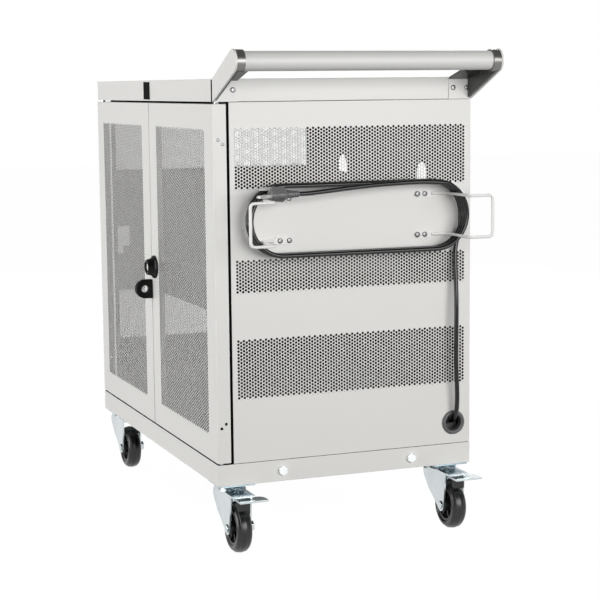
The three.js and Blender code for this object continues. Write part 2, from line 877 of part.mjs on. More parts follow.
function forkSolid() {
  const lower = rod(
    [0, 0, crownTop - seat],
    [0, 0, raceTop - raceHeight / 2 - seat],
    raceRadius,
    16,
    raceLowerRadius,
  );
  const crown = block([-forkRear, -legOuter, crownBottom], [crownFront, legOuter, crownTop]);
  const tip = circlePoints(casterTrail, wheelRadius, forkTip);
  const top = rectangle(-forkRear, crownBottom - forkBrow, forkFront, crownTop);
  const heel = forkHeel.map(([ahead, rise]) => [ahead, wheelRadius + rise]);
  const axleHole = [[casterTrail, wheelRadius, axleRadius + seat]];
  const legs = [[-legOuter, -legInner], [legInner, legOuter]].map(([from, to]) => {
    return plate(wrapped([...tip, ...heel, ...top]), "xz", from, to, axleHole);
  });
  const web = block(
    [-forkRear, -legInner, crownBottom - forkWebTall],
    [-forkRear + forkSheet, legInner, crownBottom],
  );
  const kingpinHole = rod([0, 0, crownBottom - forkSheet], [0, 0, raceTop], kingpinRadius + runningGap);
  return cut(joined(lower, crown, web, ...legs), kingpinHole);
}

function tyreSolid() {
  const inner = wheelRadius - tyreThickness;
  const [cheek, shoulder] = [wheelRadius - tyreCheekDrop, wheelRadius - tyreShoulderDrop];
  const profile = [
    [inner, -tyreInnerWidth / 2],
    [cheek, -wheelWidth / 2],
    [shoulder, -tyreShoulderWidth / 2],
    [wheelRadius, -tyreCrownWidth / 2],
    [wheelRadius, tyreCrownWidth / 2],
    [shoulder, tyreShoulderWidth / 2],
    [cheek, wheelWidth / 2],
    [inner, tyreInnerWidth / 2],
    [inner, -tyreInnerWidth / 2],
  ];
  return turned(profile, "y", 24);
}

function hubSolid() {
  const rim = wheelRadius - tyreThickness - seat;
  const [boss, web, edge] = [hubWidth / 2, hubWebWidth / 2, hubRimWidth / 2];
  const bore = axleRadius + runningGap;
  const profile = [
    [bore, -boss],
    [bossRadius, -boss],
    [bossRadius, -web],
    [rim - hubRimThickness, -web],
    [rim - hubRimThickness, -edge],
    [rim, -edge],
    [rim, edge],
    [rim - hubRimThickness, edge],
    [rim - hubRimThickness, web],
    [bossRadius, web],
    [bossRadius, boss],
    [bore, boss],
    [bore, -boss],
  ];
  return turned(profile, "y", 16);
}

function axleSolid() {
  const face = legOuter + seat;
  const inHead = face + axleHeadHeight / 2;
  const shank = rod([0, -inHead, 0], [0, inHead, 0], axleRadius);
  const head = rod([0, -face, 0], [0, -face - axleHeadHeight, 0], axleHeadRadius, 12);
  const nut = rod([0, face, 0], [0, face + axleNutHeight, 0], axleNutRadius, 6);
  return joined(shank, head, nut);
}

// Brake lever: a foot plate and a shoe over the tyre on one lever, hung between the fork's legs
function pedalSolid() {
  const inside = legInner - pedalGap;
  const pivotZ = wheelRadius + pedalPivotRise;
  const treadRoot = forkFront + pedalGap;
  const treadTop = pivotZ + pedalTreadRise;
  const lever = plate(
    wrapped([
      ...circlePoints(pedalPivotAhead, pivotZ, pedalBossRadius),
      ...rectangle(treadRoot, treadTop - pedalSheet, treadRoot + pedalSheet, treadTop),
    ]),
    "xz",
    -inside,
    inside,
  );
  const corner = [treadRoot + pedalCornerRadius, pedalFarWidth - pedalCornerRadius];
  const tread = plate(
    wrapped([
      [treadRoot, -pedalNearWidth],
      [pedalReach, -pedalNearWidth],
      [pedalReach, pedalFarWidth],
      ...circlePoints(...corner, pedalCornerRadius),
    ]),
    "xy",
    treadTop - pedalSheet,
    treadTop,
  );
  const shoeRear = pedalPivotAhead + pedalShoeAhead;
  const shoeFront = shoeRear + pedalShoeLength;
  const shoeTop = pivotZ + pedalBossRadius / 2;
  const shoe = plate(
    [
      [shoeRear, pivotZ - pedalShoeDrop],
      [shoeFront, pivotZ - pedalShoeToeDrop],
      [shoeFront, shoeTop],
      [shoeRear, shoeTop],
    ],
    "xz",
    -pedalShoeWidth / 2,
    pedalShoeWidth / 2,
  );
  return joined(lever, tread, shoe);
}

for (const [end, side, word, braked] of [
  [1, -1, "handle_front", true],
  [1, 1, "handle_rear", true],
  [-1, -1, "far_front", false],
  [-1, 1, "far_rear", false],
]) {
  const caster = new THREE.Group();
  caster.position.set(end * (halfLength - casterInset), side * (halfDepth - casterInset), 0);
  cart.add(caster);
  addPiece(caster, `caster_plate_${word}`, casterPlateSolid(), zinc());
  addPiece(caster, `fork_${word}`, forkSolid(), zinc());
  const wheel = new THREE.Group();
  wheel.position.set(casterTrail, 0, wheelRadius);
  caster.add(wheel);
  addPiece(wheel, `tyre_${word}`, tyreSolid(), rubber());
  addPiece(wheel, `hub_${word}`, hubSolid(), blackPlastic());
  addPiece(wheel, `axle_${word}`, axleSolid(), zinc());
  if (braked) addPiece(caster, `brake_pedal_${word}`, pedalSolid(), zinc());
}

// The object's own box sets the origin: its middle, on the floor
const ownBox = new THREE.Box3().setFromObject(cart);
const middle = ownBox.getCenter(new THREE.Vector3());

// Mains lead: it leaves the power strip through the grommet, rises beside the panel and is wound on the
// hooks, and its plug lies on the winding
const windingArc = hookSpread - windingArcInset;
const postReach = Math.hypot(windingArcInset, hookTall / 2);
const windingRadius = postReach + wireRadius + cordRadius + 2 * seat;

// Drop from the strip to the winding, as places from the grommet's middle on the panel's face
const dropRoute = [
  [-stripToPanel + seat, 0, 0], [-24, 0, 0], [-15, 0, 0], [-7.5, 0, 1], [-0.5, 0, 3.9], [5.5, -0.2, 8.5],
  [10.1, -0.4, 14.5], [13, -0.4, 21.5], [14, -0.2, 29], [14.8, -0.2, 42], [16, -1.2, 62], [17, -2.8, 86],
  [17.5, -3.6, 116], [17.5, -3.3, 145], [17, -2.9, 176], [15.5, -2.5, 205], [13.5, -2.6, 230],
  [11.3, -2.6, 253], [9.9, -1.4, 274], [9.6, 2.4, 290], [9.8, 5.7, 303],
];

// Tail from the winding's last arc to the plug, as places from the middle of the winding on the panel's face
const tailRoute = [
  [34.8, 100, 51], [36.6, 65, 50.7], [39.4, 30, 49.6], [42.6, -5, 47.7], [45.4, -40, 45], [47.2, -68, 42.5],
  [47.9, -86, 41.1], [48, -96, 40.6], [48, -106, 40.5],
];

// A point of the winding: segments are the right end, the top run, the left end and the lower run
function windingPoint(segment, share, turn) {
  const x = cordFirstLayer + cordLayerStep * (turn + (segment + share) / 4);
  const side = segment < 2 ? 1 : -1;
  const along = side * windingArc * (1 - 2 * share);
  if (segment % 2 === 1) return new THREE.Vector3(x, along, side * windingRadius);
  const angle = Math.PI * (share - side / 2);
  return new THREE.Vector3(
    x,
    side * windingArc + windingRadius * Math.cos(angle),
    windingRadius * Math.sin(angle),
  );
}

function windingRings() {
  const rings = [];
  const runSteps = 2;
  for (let turn = 0; turn <= windingTurns; turn += 1) {
    for (const segment of turn < windingTurns ? [0, 1, 2, 3] : [0]) {
      const steps = segment % 2 === 0 ? windingArcSteps : runSteps;
      const first = turn === 0 && segment === 0 ? steps / 2 : 0;
      for (let i = first; i < steps; i += 1) rings.push(windingPoint(segment, i / steps, turn));
    }
  }
  return rings;
}

// The least distance between the surfaces of two stretches of the winding that lie side by side
function leastGap(rings, radius) {
  const points = [];
  const perStep = 6;
  for (let i = 0; i + 1 < rings.length; i += 1) {
    for (let k = 0; k < perStep; k += 1) points.push(rings[i].clone().lerp(rings[i + 1], k / perStep));
  }
  const apart = 8 * perStep;
  let least = Infinity;
  for (let i = 0; i < points.length; i += 1) {
    for (let j = i + apart; j < points.length; j += 1) {
      least = Math.min(least, points[i].distanceTo(points[j]));
    }
  }
  return least - 2 * radius;
}

const toVector = ([x, y, z]) => new THREE.Vector3(x, y, z);
const windingCentre = new THREE.Vector3(halfLength, panelCentre, hookZ);
const grommetCentre = new THREE.Vector3(halfLength, grommetY, grommetZ);
const straightEnd = new THREE.Vector3(0, 0, 2 * cordRadius);
const wound = windingRings();
const leadIn = wound[0].clone().sub(straightEnd);
const hankRings = [leadIn, ...wound, ...tailRoute.map(toVector)].map((ring) => ring.add(windingCentre));
const dropEnd = hankRings[0].clone().sub(new THREE.Vector3(0, 0, seat));
const drop = dropRoute.map((place) => toVector(place).add(grommetCentre));
const dropRings = [...drop, dropEnd.clone().sub(straightEnd), dropEnd];
console.log("least gap of the wound lead to itself:", leastGap(hankRings, cordRadius).toFixed(2), "mm");

// Plug: a chamfered body with a tapered strain relief, lying along -Y, rolled so that its blades show
function plugBody() {
  const [wide, tall] = [plugWidth / 2, plugTall / 2];
  const section = wrapped([
    [-wide + plugChamfer, -tall], [wide - plugChamfer, -tall], [wide, -tall + plugChamfer],
    [wide, tall - plugChamfer], [wide - plugChamfer, tall], [-wide + plugChamfer, tall],
    [-wide, tall - plugChamfer], [-wide, -tall + plugChamfer],
  ]);
  const front = -reliefLength - plugLength;
  const body = plate(section, "xz", front, -reliefLength);
  const relief = rod([0, 0, 0], [0, -reliefLength - seat, 0], reliefEndRadius, 12, reliefRadius);
  const [pocketWide, pocketTall] = [wide - plugRim, tall - plugRim];
  const pocket = block(
    [-pocketWide, front - carrierDepth, -pocketTall],
    [pocketWide, front + carrierDepth, pocketTall],
  );
  return cut(joined(body, relief), pocket);
}

function plugProngs() {
  const [wide, tall] = [plugWidth / 2 - plugRim - seat, plugTall / 2 - plugRim - seat];
  const front = -reliefLength - plugLength;
  const root = front + carrierDepth / 2;
  const tip = front - bladeLength;
  const carrier = block([-wide, front, -tall], [wide, front + carrierDepth - seat, tall]);
  const blades = [-1, 1].map((side) => {
    const middle = (side * bladeSpread) / 2;
    return block(
      [wide - bladeWidth, tip, middle - bladeThickness / 2],
      [wide, root, middle + bladeThickness / 2],
    );
  });
  const groundX = wide - bladeWidth / 2 - groundOffset;
  const ground = rod([groundX, root, 0], [groundX, tip - groundExtra, 0], groundRadius);
  return joined(carrier, ...blades, ground);
}

addPiece(cordGroup, "cord_drop", tube(dropRings, cordRadius, 8), blackPlastic());
addPiece(cordGroup, "cord_hank", tube(hankRings, cordRadius, 6), blackPlastic());
const plug = new THREE.Group();
plug.position.copy(hankRings[hankRings.length - 1]).sub(new THREE.Vector3(0, seat, 0));
plug.rotation.y = plugRoll;
cordGroup.add(plug);
addPiece(plug, "plug_body", plugBody(), blackPlastic());
addPiece(plug, "plug_prongs", plugProngs(), nickel());

cart.add(cordGroup);
cart.position.set(-middle.x, -middle.y, -ownBox.min.z);

export default cart;
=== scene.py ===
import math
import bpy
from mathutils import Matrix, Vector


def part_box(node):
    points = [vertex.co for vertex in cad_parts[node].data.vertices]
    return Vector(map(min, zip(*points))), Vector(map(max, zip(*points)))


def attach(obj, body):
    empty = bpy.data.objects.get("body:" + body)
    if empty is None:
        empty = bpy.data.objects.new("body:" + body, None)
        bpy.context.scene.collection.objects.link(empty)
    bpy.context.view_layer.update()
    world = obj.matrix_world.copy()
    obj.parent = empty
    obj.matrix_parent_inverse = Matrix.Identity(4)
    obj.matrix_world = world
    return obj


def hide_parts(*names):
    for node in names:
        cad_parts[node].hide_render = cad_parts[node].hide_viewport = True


bl_info = {
    "name": "Laptop charging cart",
    "version": (1, 0, 0),
    "blender": (4, 5, 0),
    "location": "View3D > Sidebar > Cart",
    "description": "Dresses the frame of a perforated steel laptop charging cart",
    "category": "Object",
}

import bmesh
import bpy
from bpy.props import FloatProperty, FloatVectorProperty, IntProperty, PointerProperty
from mathutils import Matrix, Vector

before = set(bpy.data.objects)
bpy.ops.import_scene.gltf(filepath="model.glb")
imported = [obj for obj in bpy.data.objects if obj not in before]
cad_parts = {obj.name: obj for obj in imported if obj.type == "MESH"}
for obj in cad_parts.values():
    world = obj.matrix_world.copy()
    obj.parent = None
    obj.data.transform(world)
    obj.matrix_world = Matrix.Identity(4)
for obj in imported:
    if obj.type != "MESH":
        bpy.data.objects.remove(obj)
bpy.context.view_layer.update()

# Millimetres of the cabinet's own frame: its middle in plan, heights from the floor
MM = 0.001
LID_LOW, LID_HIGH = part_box("top_cover")
MIDDLE_X = (LID_LOW[0] + LID_HIGH[0]) / 2
MIDDLE_Y = (LID_LOW[1] + LID_HIGH[1]) / 2
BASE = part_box("base_tray")[0][2] / MM
HALF_LENGTH = (LID_HIGH[0] - LID_LOW[0]) / 2 / MM
HALF_DEPTH = (LID_HIGH[1] - LID_LOW[1]) / 2 / MM
PAN_SHEET = 2.0
SEAM = 0.3
CASTERS = ("handle_front", "handle_rear", "far_front", "far_rear")
BRAKED = CASTERS[:2]

# Metres: faces wider than this are shaded flat
WIDE_FACE = 0.003

# Metres: where the painted light and shade inside the cabinet start behind the outer faces, and the shine
# that they take away
REAR_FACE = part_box("rear_panel")[1][1]
SKIN_SIDE = 0.0003
HOLE_RIM = 0.00005
SKIN_FLOOR = 0.003
SKIN_TOP = 0.0005
SKIN_SHINE = 0.5


def at(x, y, z):
    return Vector((MIDDLE_X + x * MM, MIDDLE_Y + y * MM, z * MM))


def node_span(node):
    """A node's lowest and highest corners in the cabinet's millimetres."""
    low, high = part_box(node)
    shift = Vector((MIDDLE_X, MIDDLE_Y, 0))
    return (Vector(low) - shift) / MM, (Vector(high) - shift) / MM


def length_property(label, words, default, **limits):
    return FloatProperty(name=label, description=words, default=default, unit="LENGTH", **limits)


def count_property(label, words, default):
    return IntProperty(name=label, description=words, default=default, min=2)


def colour_property(label, words, default):
    return FloatVectorProperty(name=label, description=words, default=default, subtype="COLOR", size=3)


class CartSizes(bpy.types.PropertyGroup):
    hole_diameter: length_property(
        "Hole diameter", "Diameter of the ventilation holes", 0.0038, min=0.001, max=0.0045,
    )
    hole_pitch: length_property("Hole pitch", "Distance between the holes of a column", 0.005, min=0.003)
    hole_sheet: length_property("Perforated sheet", "Thickness of the perforated sheet", 0.0006)
    door_columns: count_property("Door columns", "Columns of holes in each door", 58)
    door_rows: count_property("Door rows", "Holes in a full column of each door", 91)
    panel_columns: count_property("Panel columns", "Columns of holes in each band of a side panel", 86)
    bend_radius: length_property("Bend radius", "Outside radius of the sheet's bends", 0.001)
    cord_diameter: length_property("Lead diameter", "Diameter of the mains lead", 0.007)
    screw_head: length_property("Screw head", "Diameter of the panel screws' heads", 0.0078)


class CartColours(bpy.types.PropertyGroup):
    paint: colour_property("Cabinet paint", "Light grey powder coat", (0.72, 0.712, 0.69))
    # Painted shade: the sheets' inner side and the holes' walls get this dark colour for the shade inside the
    # cabinet
    inside: colour_property("Painted inner shade", "Painted shade on the sheets' inner side and the holes' walls", (0.03, 0.03, 0.031))
    handle: colour_property("Handle paint", "Silver grey of the push handle's tube", (0.63, 0.625, 0.61))
    zinc: colour_property("Zinc plate", "Bluish zinc of the forks, axles and pins", (0.6, 0.645, 0.66))
    charcoal: colour_property("Charcoal moulding", "Mouldings at the handle's ends", (0.2, 0.196, 0.19))
    black: colour_property("Black plastic", "Hubs, switch and strain relief", (0.012, 0.012, 0.012))
    rubber: colour_property("Tyre rubber", "Wheels' tread and brake shoes", (0.008, 0.008, 0.0082))


def sizes():
    return bpy.context.scene.cart_sizes


def colours():
    return bpy.context.scene.cart_colours


# Node tree helpers
def feed(tree, node, values):
    """Links sockets to a node's inputs, or sets the inputs to plain values."""
    for key, value in values.items():
        if isinstance(value, bpy.types.NodeSocket):
            tree.links.new(value, node.inputs[key])
        else:
            node.inputs[key].default_value = value
    return node


def add_node(tree, kind, values, **settings):
    node = tree.nodes.new(kind)
    for key, value in settings.items():
        setattr(node, key, value)
    return feed(tree, node, values)


def math_node(tree, operation, *values):
    return add_node(tree, "ShaderNodeMath", dict(enumerate(values)), operation=operation).outputs[0]


def vector_node(tree, operation, values):
    return add_node(tree, "ShaderNodeVectorMath", values, operation=operation).outputs[0]


def new_tree(name, kind, inputs, outputs):
    """An empty node group, with its input sockets and its exit node."""
    tree = bpy.data.node_groups.new(name, kind)
    for in_out, sockets in (("INPUT", inputs), ("OUTPUT", outputs)):
        for label, socket in sockets.items():
            tree.interface.new_socket(label, in_out=in_out, socket_type=f"NodeSocket{socket}")
    return tree, tree.nodes.new("NodeGroupInput").outputs, tree.nodes.new("NodeGroupOutput")


def shared_tree(name, build):
    """A node group by its name, built the first time that it is asked for."""
    return bpy.data.node_groups.get(name) or build(name)


# Shader groups shared by the finishes
def surface_grain(name):
    """Slow tone drift, fine grain height and a roughness that follows both."""
    inputs = {
        "Vector": "Vector", "Colour": "Color", "Tone Drift": "Float", "Drift Scale": "Float",
        "Grain Scale": "Float", "Roughness": "Float", "Roughness Drift": "Float",
    }
    outputs = {"Colour": "Color", "Roughness": "Float", "Height": "Float"}
    tree, entry, leave = new_tree(name, "ShaderNodeTree", inputs, outputs)
    noise = "ShaderNodeTexNoise"
    drift = add_node(tree, noise, {"Detail": 3.0, "Vector": entry["Vector"], "Scale": entry["Drift Scale"]})
    grain = add_node(tree, noise, {"Detail": 2.0, "Vector": entry["Vector"], "Scale": entry["Grain Scale"]})
    height = grain.outputs["Fac"]
    centred = math_node(tree, "SUBTRACT", drift.outputs["Fac"], 0.5)
    gain = math_node(tree, "ADD", math_node(tree, "MULTIPLY", centred, entry["Tone Drift"]), 1.0)
    toned = vector_node(tree, "SCALE", {0: entry["Colour"], "Scale": gain})
    mixed = math_node(tree, "ADD", centred, math_node(tree, "SUBTRACT", height, 0.5))
    spread = math_node(tree, "MULTIPLY", mixed, entry["Roughness Drift"])
    rough = math_node(tree, "ADD", entry["Roughness"], spread)
    feed(tree, leave, {"Colour": toned, "Roughness": rough, "Height": height})
    return tree


def drawn_streaks(name):
    """Drawn lines along one axis, as on plated or extruded metal."""
    inputs = {"Vector": "Vector", "Stretch": "Vector", "Scale": "Float"}
    tree, entry, leave = new_tree(name, "ShaderNodeTree", inputs, {"Streak": "Float"})
    stretched = vector_node(tree, "MULTIPLY", {0: entry["Vector"], 1: entry["Stretch"]})
    values = {"Detail": 2.0, "Vector": stretched, "Scale": entry["Scale"]}
    noise = add_node(tree, "ShaderNodeTexNoise", values)
    feed(tree, leave, {"Streak": noise.outputs["Fac"]})
    return tree


def inside_the_skin(name):
    """One inside a box with a middle and a reach along each axis, and nought on and outside it."""
    inputs = {"Vector": "Vector", "Middle": "Vector", "Reach": "Vector"}
    tree, entry, leave = new_tree(name, "ShaderNodeTree", inputs, {"Inside": "Float"})
    offset = vector_node(tree, "SUBTRACT", {0: entry["Vector"], 1: entry["Middle"]})
    away = add_node(tree, "ShaderNodeSeparateXYZ", {0: vector_node(tree, "ABSOLUTE", {0: offset})})
    limits = add_node(tree, "ShaderNodeSeparateXYZ", {0: entry["Reach"]})
    tests = [math_node(tree, "LESS_THAN", away.outputs[axis], limits.outputs[axis]) for axis in "XYZ"]
    both = math_node(tree, "MULTIPLY", tests[0], tests[1])
    feed(tree, leave, {"Inside": math_node(tree, "MULTIPLY", both, tests[2])})
    return tree


def grained_material(name, colour, roughness, metallic=0.0, drift=0.05, drift_scale=6.0, grain_scale=900.0,
                     rough_drift=0.08, bump=0.1, depth=0.0001, specular=0.5):
    """A Principled finish whose tone, roughness and grain come from the shared group."""
    material = bpy.data.materials.new(name)
    material.use_nodes = True
    tree = material.node_tree
    coordinates = tree.nodes.new("ShaderNodeTexCoord")
    grain = add_node(tree, "ShaderNodeGroup", {
        "Vector": coordinates.outputs["Object"],
        "Colour": (*colour, 1.0),
        "Tone Drift": drift,
        "Drift Scale": drift_scale,
        "Grain Scale": grain_scale,
        "Roughness": roughness,
        "Roughness Drift": rough_drift,
    }, node_tree=shared_tree("Surface grain", surface_grain))
    relief = add_node(tree, "ShaderNodeBump", {
        "Strength": bump,
        "Distance": depth,
        "Height": grain.outputs["Height"],
    })
    feed(tree, tree.nodes["Principled BSDF"], {
        "Base Color": grain.outputs["Colour"],
        "Roughness": grain.outputs["Roughness"],
        "Normal": relief.outputs["Normal"],
        "Metallic": metallic,
        "Specular IOR Level": specular,
    })
    return material


def add_streaks(material, stretch, scale, strength, depth=0.00005):
    """Puts drawn streaks into a grained finish's relief."""
    tree = material.node_tree
    streaks = add_node(tree, "ShaderNodeGroup", {
        "Vector": tree.nodes["Texture Coordinate"].outputs["Object"],
        "Stretch": stretch,
        "Scale": scale,
    }, node_tree=shared_tree("Drawn streaks", drawn_streaks))
    drawn = add_node(tree, "ShaderNodeBump", {
        "Strength": strength,
        "Distance": depth,
        "Height": streaks.outputs["Streak"],
        "Normal": tree.nodes["Bump"].outputs["Normal"],
    })
    feed(tree, tree.nodes["Principled BSDF"], {"Normal": drawn.outputs["Normal"]})


def second_colour(material, mask, colour, socket, strength):
    """Gives a finish another colour where a mask is one, and takes one of its strengths away there."""
    tree = material.node_tree
    first = tree.nodes["Group"].outputs["Colour"]
    mix = add_node(tree, "ShaderNodeMix", {0: mask, 6: first, 7: (*colour, 1.0)}, data_type="RGBA")
    fade = math_node(tree, "MULTIPLY_ADD", mask, -strength, strength)
    feed(tree, tree.nodes["Principled BSDF"], {"Base Color": mix.outputs[2], socket: fade})


def paint_inner_light_and_shade(material, colour, margin, rear=REAR_FACE):
    """Paints light and shade into a finish: another colour from a margin behind the cabinet's front and sides
    to a rear limit.
    """
    tree = material.node_tree
    bottom = BASE * MM + SKIN_FLOOR
    top = LID_HIGH[2] - SKIN_TOP
    front = LID_LOW[1] + margin
    rear -= margin
    skin = add_node(tree, "ShaderNodeGroup", {
        "Vector": tree.nodes["Texture Coordinate"].outputs["Object"],
        "Middle": (MIDDLE_X, (front + rear) / 2, (bottom + top) / 2),
        "Reach": (HALF_LENGTH * MM - margin, (rear - front) / 2, (top - bottom) / 2),
    }, node_tree=shared_tree("Inside the skin", inside_the_skin))
    second_colour(material, skin.outputs["Inside"], colour, "Specular IOR Level", SKIN_SHINE)


def darken_below(material, colour, height, shine):
    """Paints shade into a metallic finish: a plain colour below a height in metres, with its metallic sheen
    taken away.
    """
    tree = material.node_tree
    place = tree.nodes["Texture Coordinate"].outputs["Object"]
    parted = add_node(tree, "ShaderNodeSeparateXYZ", {0: place})
    below = math_node(tree, "LESS_THAN", parted.outputs["Z"], height)
    second_colour(material, below, colour, "Metallic", shine)


# Finishes: a colour or its name in the panel, a roughness, and what differs from the plain grain
COLLAR_SHINE = 0.8
# Painted shade: the handle mouldings' colour below the tube, where their metallic sheen is taken away
PAINTED_SHADE_UNDER_TUBE = (0.022, 0.022, 0.022)
# Painted light: the far panel's inner side and holes' walls are paler than the paint, as though brightly lit
PAINTED_LIGHT_INSIDE = (0.95, 0.95, 0.94)
PAINT = {"drift": 0.03, "drift_scale": 4.0, "grain_scale": 1400.0, "bump": 0.12, "depth": 0.00008}
PLATE = {"metallic": 1.0, "drift": 0.25, "drift_scale": 45.0, "grain_scale": 700.0, "rough_drift": 0.2}
MOULDED = {"drift_scale": 25.0, "grain_scale": 1500.0, "rough_drift": 0.1, "bump": 0.15}
ENAMEL = {"drift": 0.15, "drift_scale": 30.0, "bump": 0.06}
FINISHES = {
    # The cabinet's paint: the door coat is plain, the far panel's holes get painted light inside, the others
    # painted shade inside; see finish()
    "Paint with painted inner shade": ("paint", 0.42, PAINT),
    "Perforated paint with painted shade": ("paint", 0.42, PAINT),
    "Paint with painted inner light": ("paint", 0.42, PAINT),
    "Door coat": ("paint", 0.42, PAINT),
    "Door hole paint with painted shade": ("paint", 0.42, PAINT),
    # Painted light: the hooks' wire has the cabinet's light grey paint, given a lighter colour here to stand
    # in for light on it
    "Wire paint with painted light": ((0.78, 0.772, 0.755), 0.4, dict(PAINT, drift_scale=8.0, bump=0.1)),
    "Handle paint": ("handle", 0.55, dict(
        PAINT, metallic=0.1, drift_scale=5.0, grain_scale=1800.0, rough_drift=0.06, bump=0.08, depth=0.00005,
    )),
    "Zinc plate": ("zinc", 0.22, dict(PLATE, bump=0.15)),
    # Blue plating of the caster top plates, made darker than the forks' zinc as painted shade under the base
    "Blue zinc with painted shade": ((0.36, 0.44, 0.48), 0.3, dict(PLATE, bump=0.12)),
    "Bright zinc": ((0.9, 0.94, 0.95), 0.2, dict(
        PLATE, drift=0.12, drift_scale=60.0, rough_drift=0.15, bump=0.12,
    )),
    "Nickel plate": ((0.9, 0.89, 0.87), 0.3, dict(
        metallic=0.7, drift=0.1, drift_scale=80.0, bump=0.08, depth=0.00005,
    )),
    "Screw steel": ((0.2, 0.2, 0.203), 0.3, dict(
        metallic=0.95, drift=0.2, drift_scale=60.0, rough_drift=0.12, depth=0.00006,
    )),
    "Charcoal moulding": ("charcoal", 0.3, dict(
        MOULDED, metallic=COLLAR_SHINE, drift=0.12, drift_scale=20.0,
    )),
    "Black moulding": ("black", 0.36, dict(MOULDED, drift=0.2, grain_scale=1600.0)),
    "Plug moulding": ((0.13, 0.13, 0.135), 0.26, dict(MOULDED, drift=0.15, grain_scale=1600.0)),
    "Grey moulding": ((0.2, 0.2, 0.205), 0.45, dict(MOULDED, drift=0.1, bump=0.12)),
    "Grommet rubber": ((0.085, 0.085, 0.088), 0.42, dict(MOULDED, drift=0.12, drift_scale=30.0)),
    "Tyre rubber": ("rubber", 0.28, dict(
        MOULDED, drift=0.35, drift_scale=35.0, grain_scale=1100.0, rough_drift=0.12,
    )),
    "Rack plastic": ((0.022, 0.022, 0.023), 0.45, dict(
        drift=0.1, drift_scale=15.0, grain_scale=1200.0, rough_drift=0.1,
    )),
    "Black enamel": ((0.005, 0.005, 0.005), 0.24, dict(
        ENAMEL, grain_scale=1000.0, rough_drift=0.06, depth=0.00008, specular=0.14,
    )),
    "Bare label": ((0.003, 0.003, 0.003), 0.6, dict(
        ENAMEL, grain_scale=1200.0, depth=0.00005, specular=0.02,
    )),
    "Lead jacket": ((0.003, 0.003, 0.0033), 0.12, dict(
        drift=0.3, drift_scale=30.0, grain_scale=1500.0, rough_drift=0.06, bump=0.03, specular=0.4,
    )),
}
STREAKS = {"Handle paint": ((1.0, 0.03, 1.0), 700.0, 0.08), "Zinc plate": ((0.08, 1.0, 1.0), 500.0, 0.1)}


def finish(name):
    """A finish by its name in the table, made the first time that it is asked for."""
    if name in bpy.data.materials:
        return bpy.data.materials[name]
    colour, roughness, grain = FINISHES[name]
    if isinstance(colour, str):
        colour = getattr(colours(), colour)
    material = grained_material(name, colour, roughness, **grain)
    # Painted shade inside the cabinet, reaching the holes' walls on the perforated sheets
    if name == "Paint with painted inner shade":
        paint_inner_light_and_shade(material, colours().inside, SKIN_SIDE)
    elif name == "Perforated paint with painted shade":
        paint_inner_light_and_shade(material, colours().inside, HOLE_RIM)
    elif name == "Door hole paint with painted shade":
        paint_inner_light_and_shade(material, colours().inside, HOLE_RIM, LID_LOW[1] + sizes().hole_sheet)
    # Painted light on the far panel's holes and inner side
    elif name == "Paint with painted inner light":
        paint_inner_light_and_shade(material, PAINTED_LIGHT_INSIDE, HOLE_RIM)
    # Painted shade on the handle mouldings below the tube
    elif name == "Charcoal moulding":
        darken_below(material, PAINTED_SHADE_UNDER_TUBE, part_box("handle_tube")[0][2], COLLAR_SHINE)
    elif name in STREAKS:
        add_streaks(material, *STREAKS[name])
    return material


# Mesh helpers
def placed(name, data):
    """A new object in the scene."""
    obj = bpy.data.objects.new(name, data)
    bpy.context.scene.collection.objects.link(obj)
    return obj


def mesh_from(bm, name, smooth=30.0):
    mesh = bpy.data.meshes.new(name)
    bm.to_mesh(mesh)
    bm.free()
    mesh.shade_smooth()
    mesh.set_sharp_from_angle(angle=math.radians(smooth))
    return mesh


def piece(name, mesh, look, body, nodes=(), shaping=None):
    """Puts a finished mesh in the scene, on its body and over the nodes that it stands for."""
    obj = placed(name, mesh)
    if shaping:
        shaping(obj)
        settle(obj)
    obj.data.materials.clear()
    obj.data.materials.append(finish(look))
    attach(obj, body)
    if nodes:
        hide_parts(*nodes)
    return obj


def settle(obj, smooth=32.0):
    """Turns an object's modifiers into plain mesh with crisp edges."""
    evaluated = obj.evaluated_get(bpy.context.evaluated_depsgraph_get())
    mesh = bpy.data.meshes.new_from_object(evaluated)
    obj.modifiers.clear()
    rough = obj.data
    obj.data = mesh
    bpy.data.meshes.remove(rough)
    mesh.name = obj.name
    mesh.shade_smooth()
    mesh.set_sharp_from_angle(angle=math.radians(smooth))
    if "custom_normal" in mesh.attributes:
        mesh.attributes.remove(mesh.attributes["custom_normal"])
    for polygon in mesh.polygons:
        ends = [(mesh.vertices[a].co, mesh.vertices[b].co) for a, b in polygon.edge_keys]
        longest = max((b - a).length for a, b in ends)
        polygon.use_smooth = polygon.area < longest * WIDE_FACE


def rounded(obj, width, segments=2, angle=40.0):
    """Rounds an object's sharp edges."""
    bevel = obj.modifiers.new("Rounded edges", "BEVEL")
    bevel.width = width
    bevel.segments = segments
    bevel.limit_method = "ANGLE"
    bevel.angle_limit = math.radians(angle)
    bevel.miter_outer = "MITER_ARC"
    bevel.harden_normals = True
    return obj


def cut_away(obj, bm):
    """Takes a closed shape out of an object and leaves plain mesh."""
    outward(bm)
    cutter = placed("Cutter", mesh_from(bm, "Cutter"))
    cut = obj.modifiers.new("Cut", "BOOLEAN")
    cut.operation = "DIFFERENCE"
    cut.solver = "EXACT"
    cut.object = cutter
    settle(obj)
    shape = cutter.data
    bpy.data.objects.remove(cutter)
    bpy.data.meshes.remove(shape)


def merged_copy(node):
    """A node's own shape as one joined mesh with flat faces in one piece."""
    bm = bmesh.new()
    bm.from_mesh(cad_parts[node].data)
    bmesh.ops.remove_doubles(bm, verts=bm.verts[:], dist=1e-6)
    bmesh.ops.dissolve_limit(bm, angle_limit=math.radians(0.5), verts=bm.verts[:], edges=bm.edges[:])
    return bm


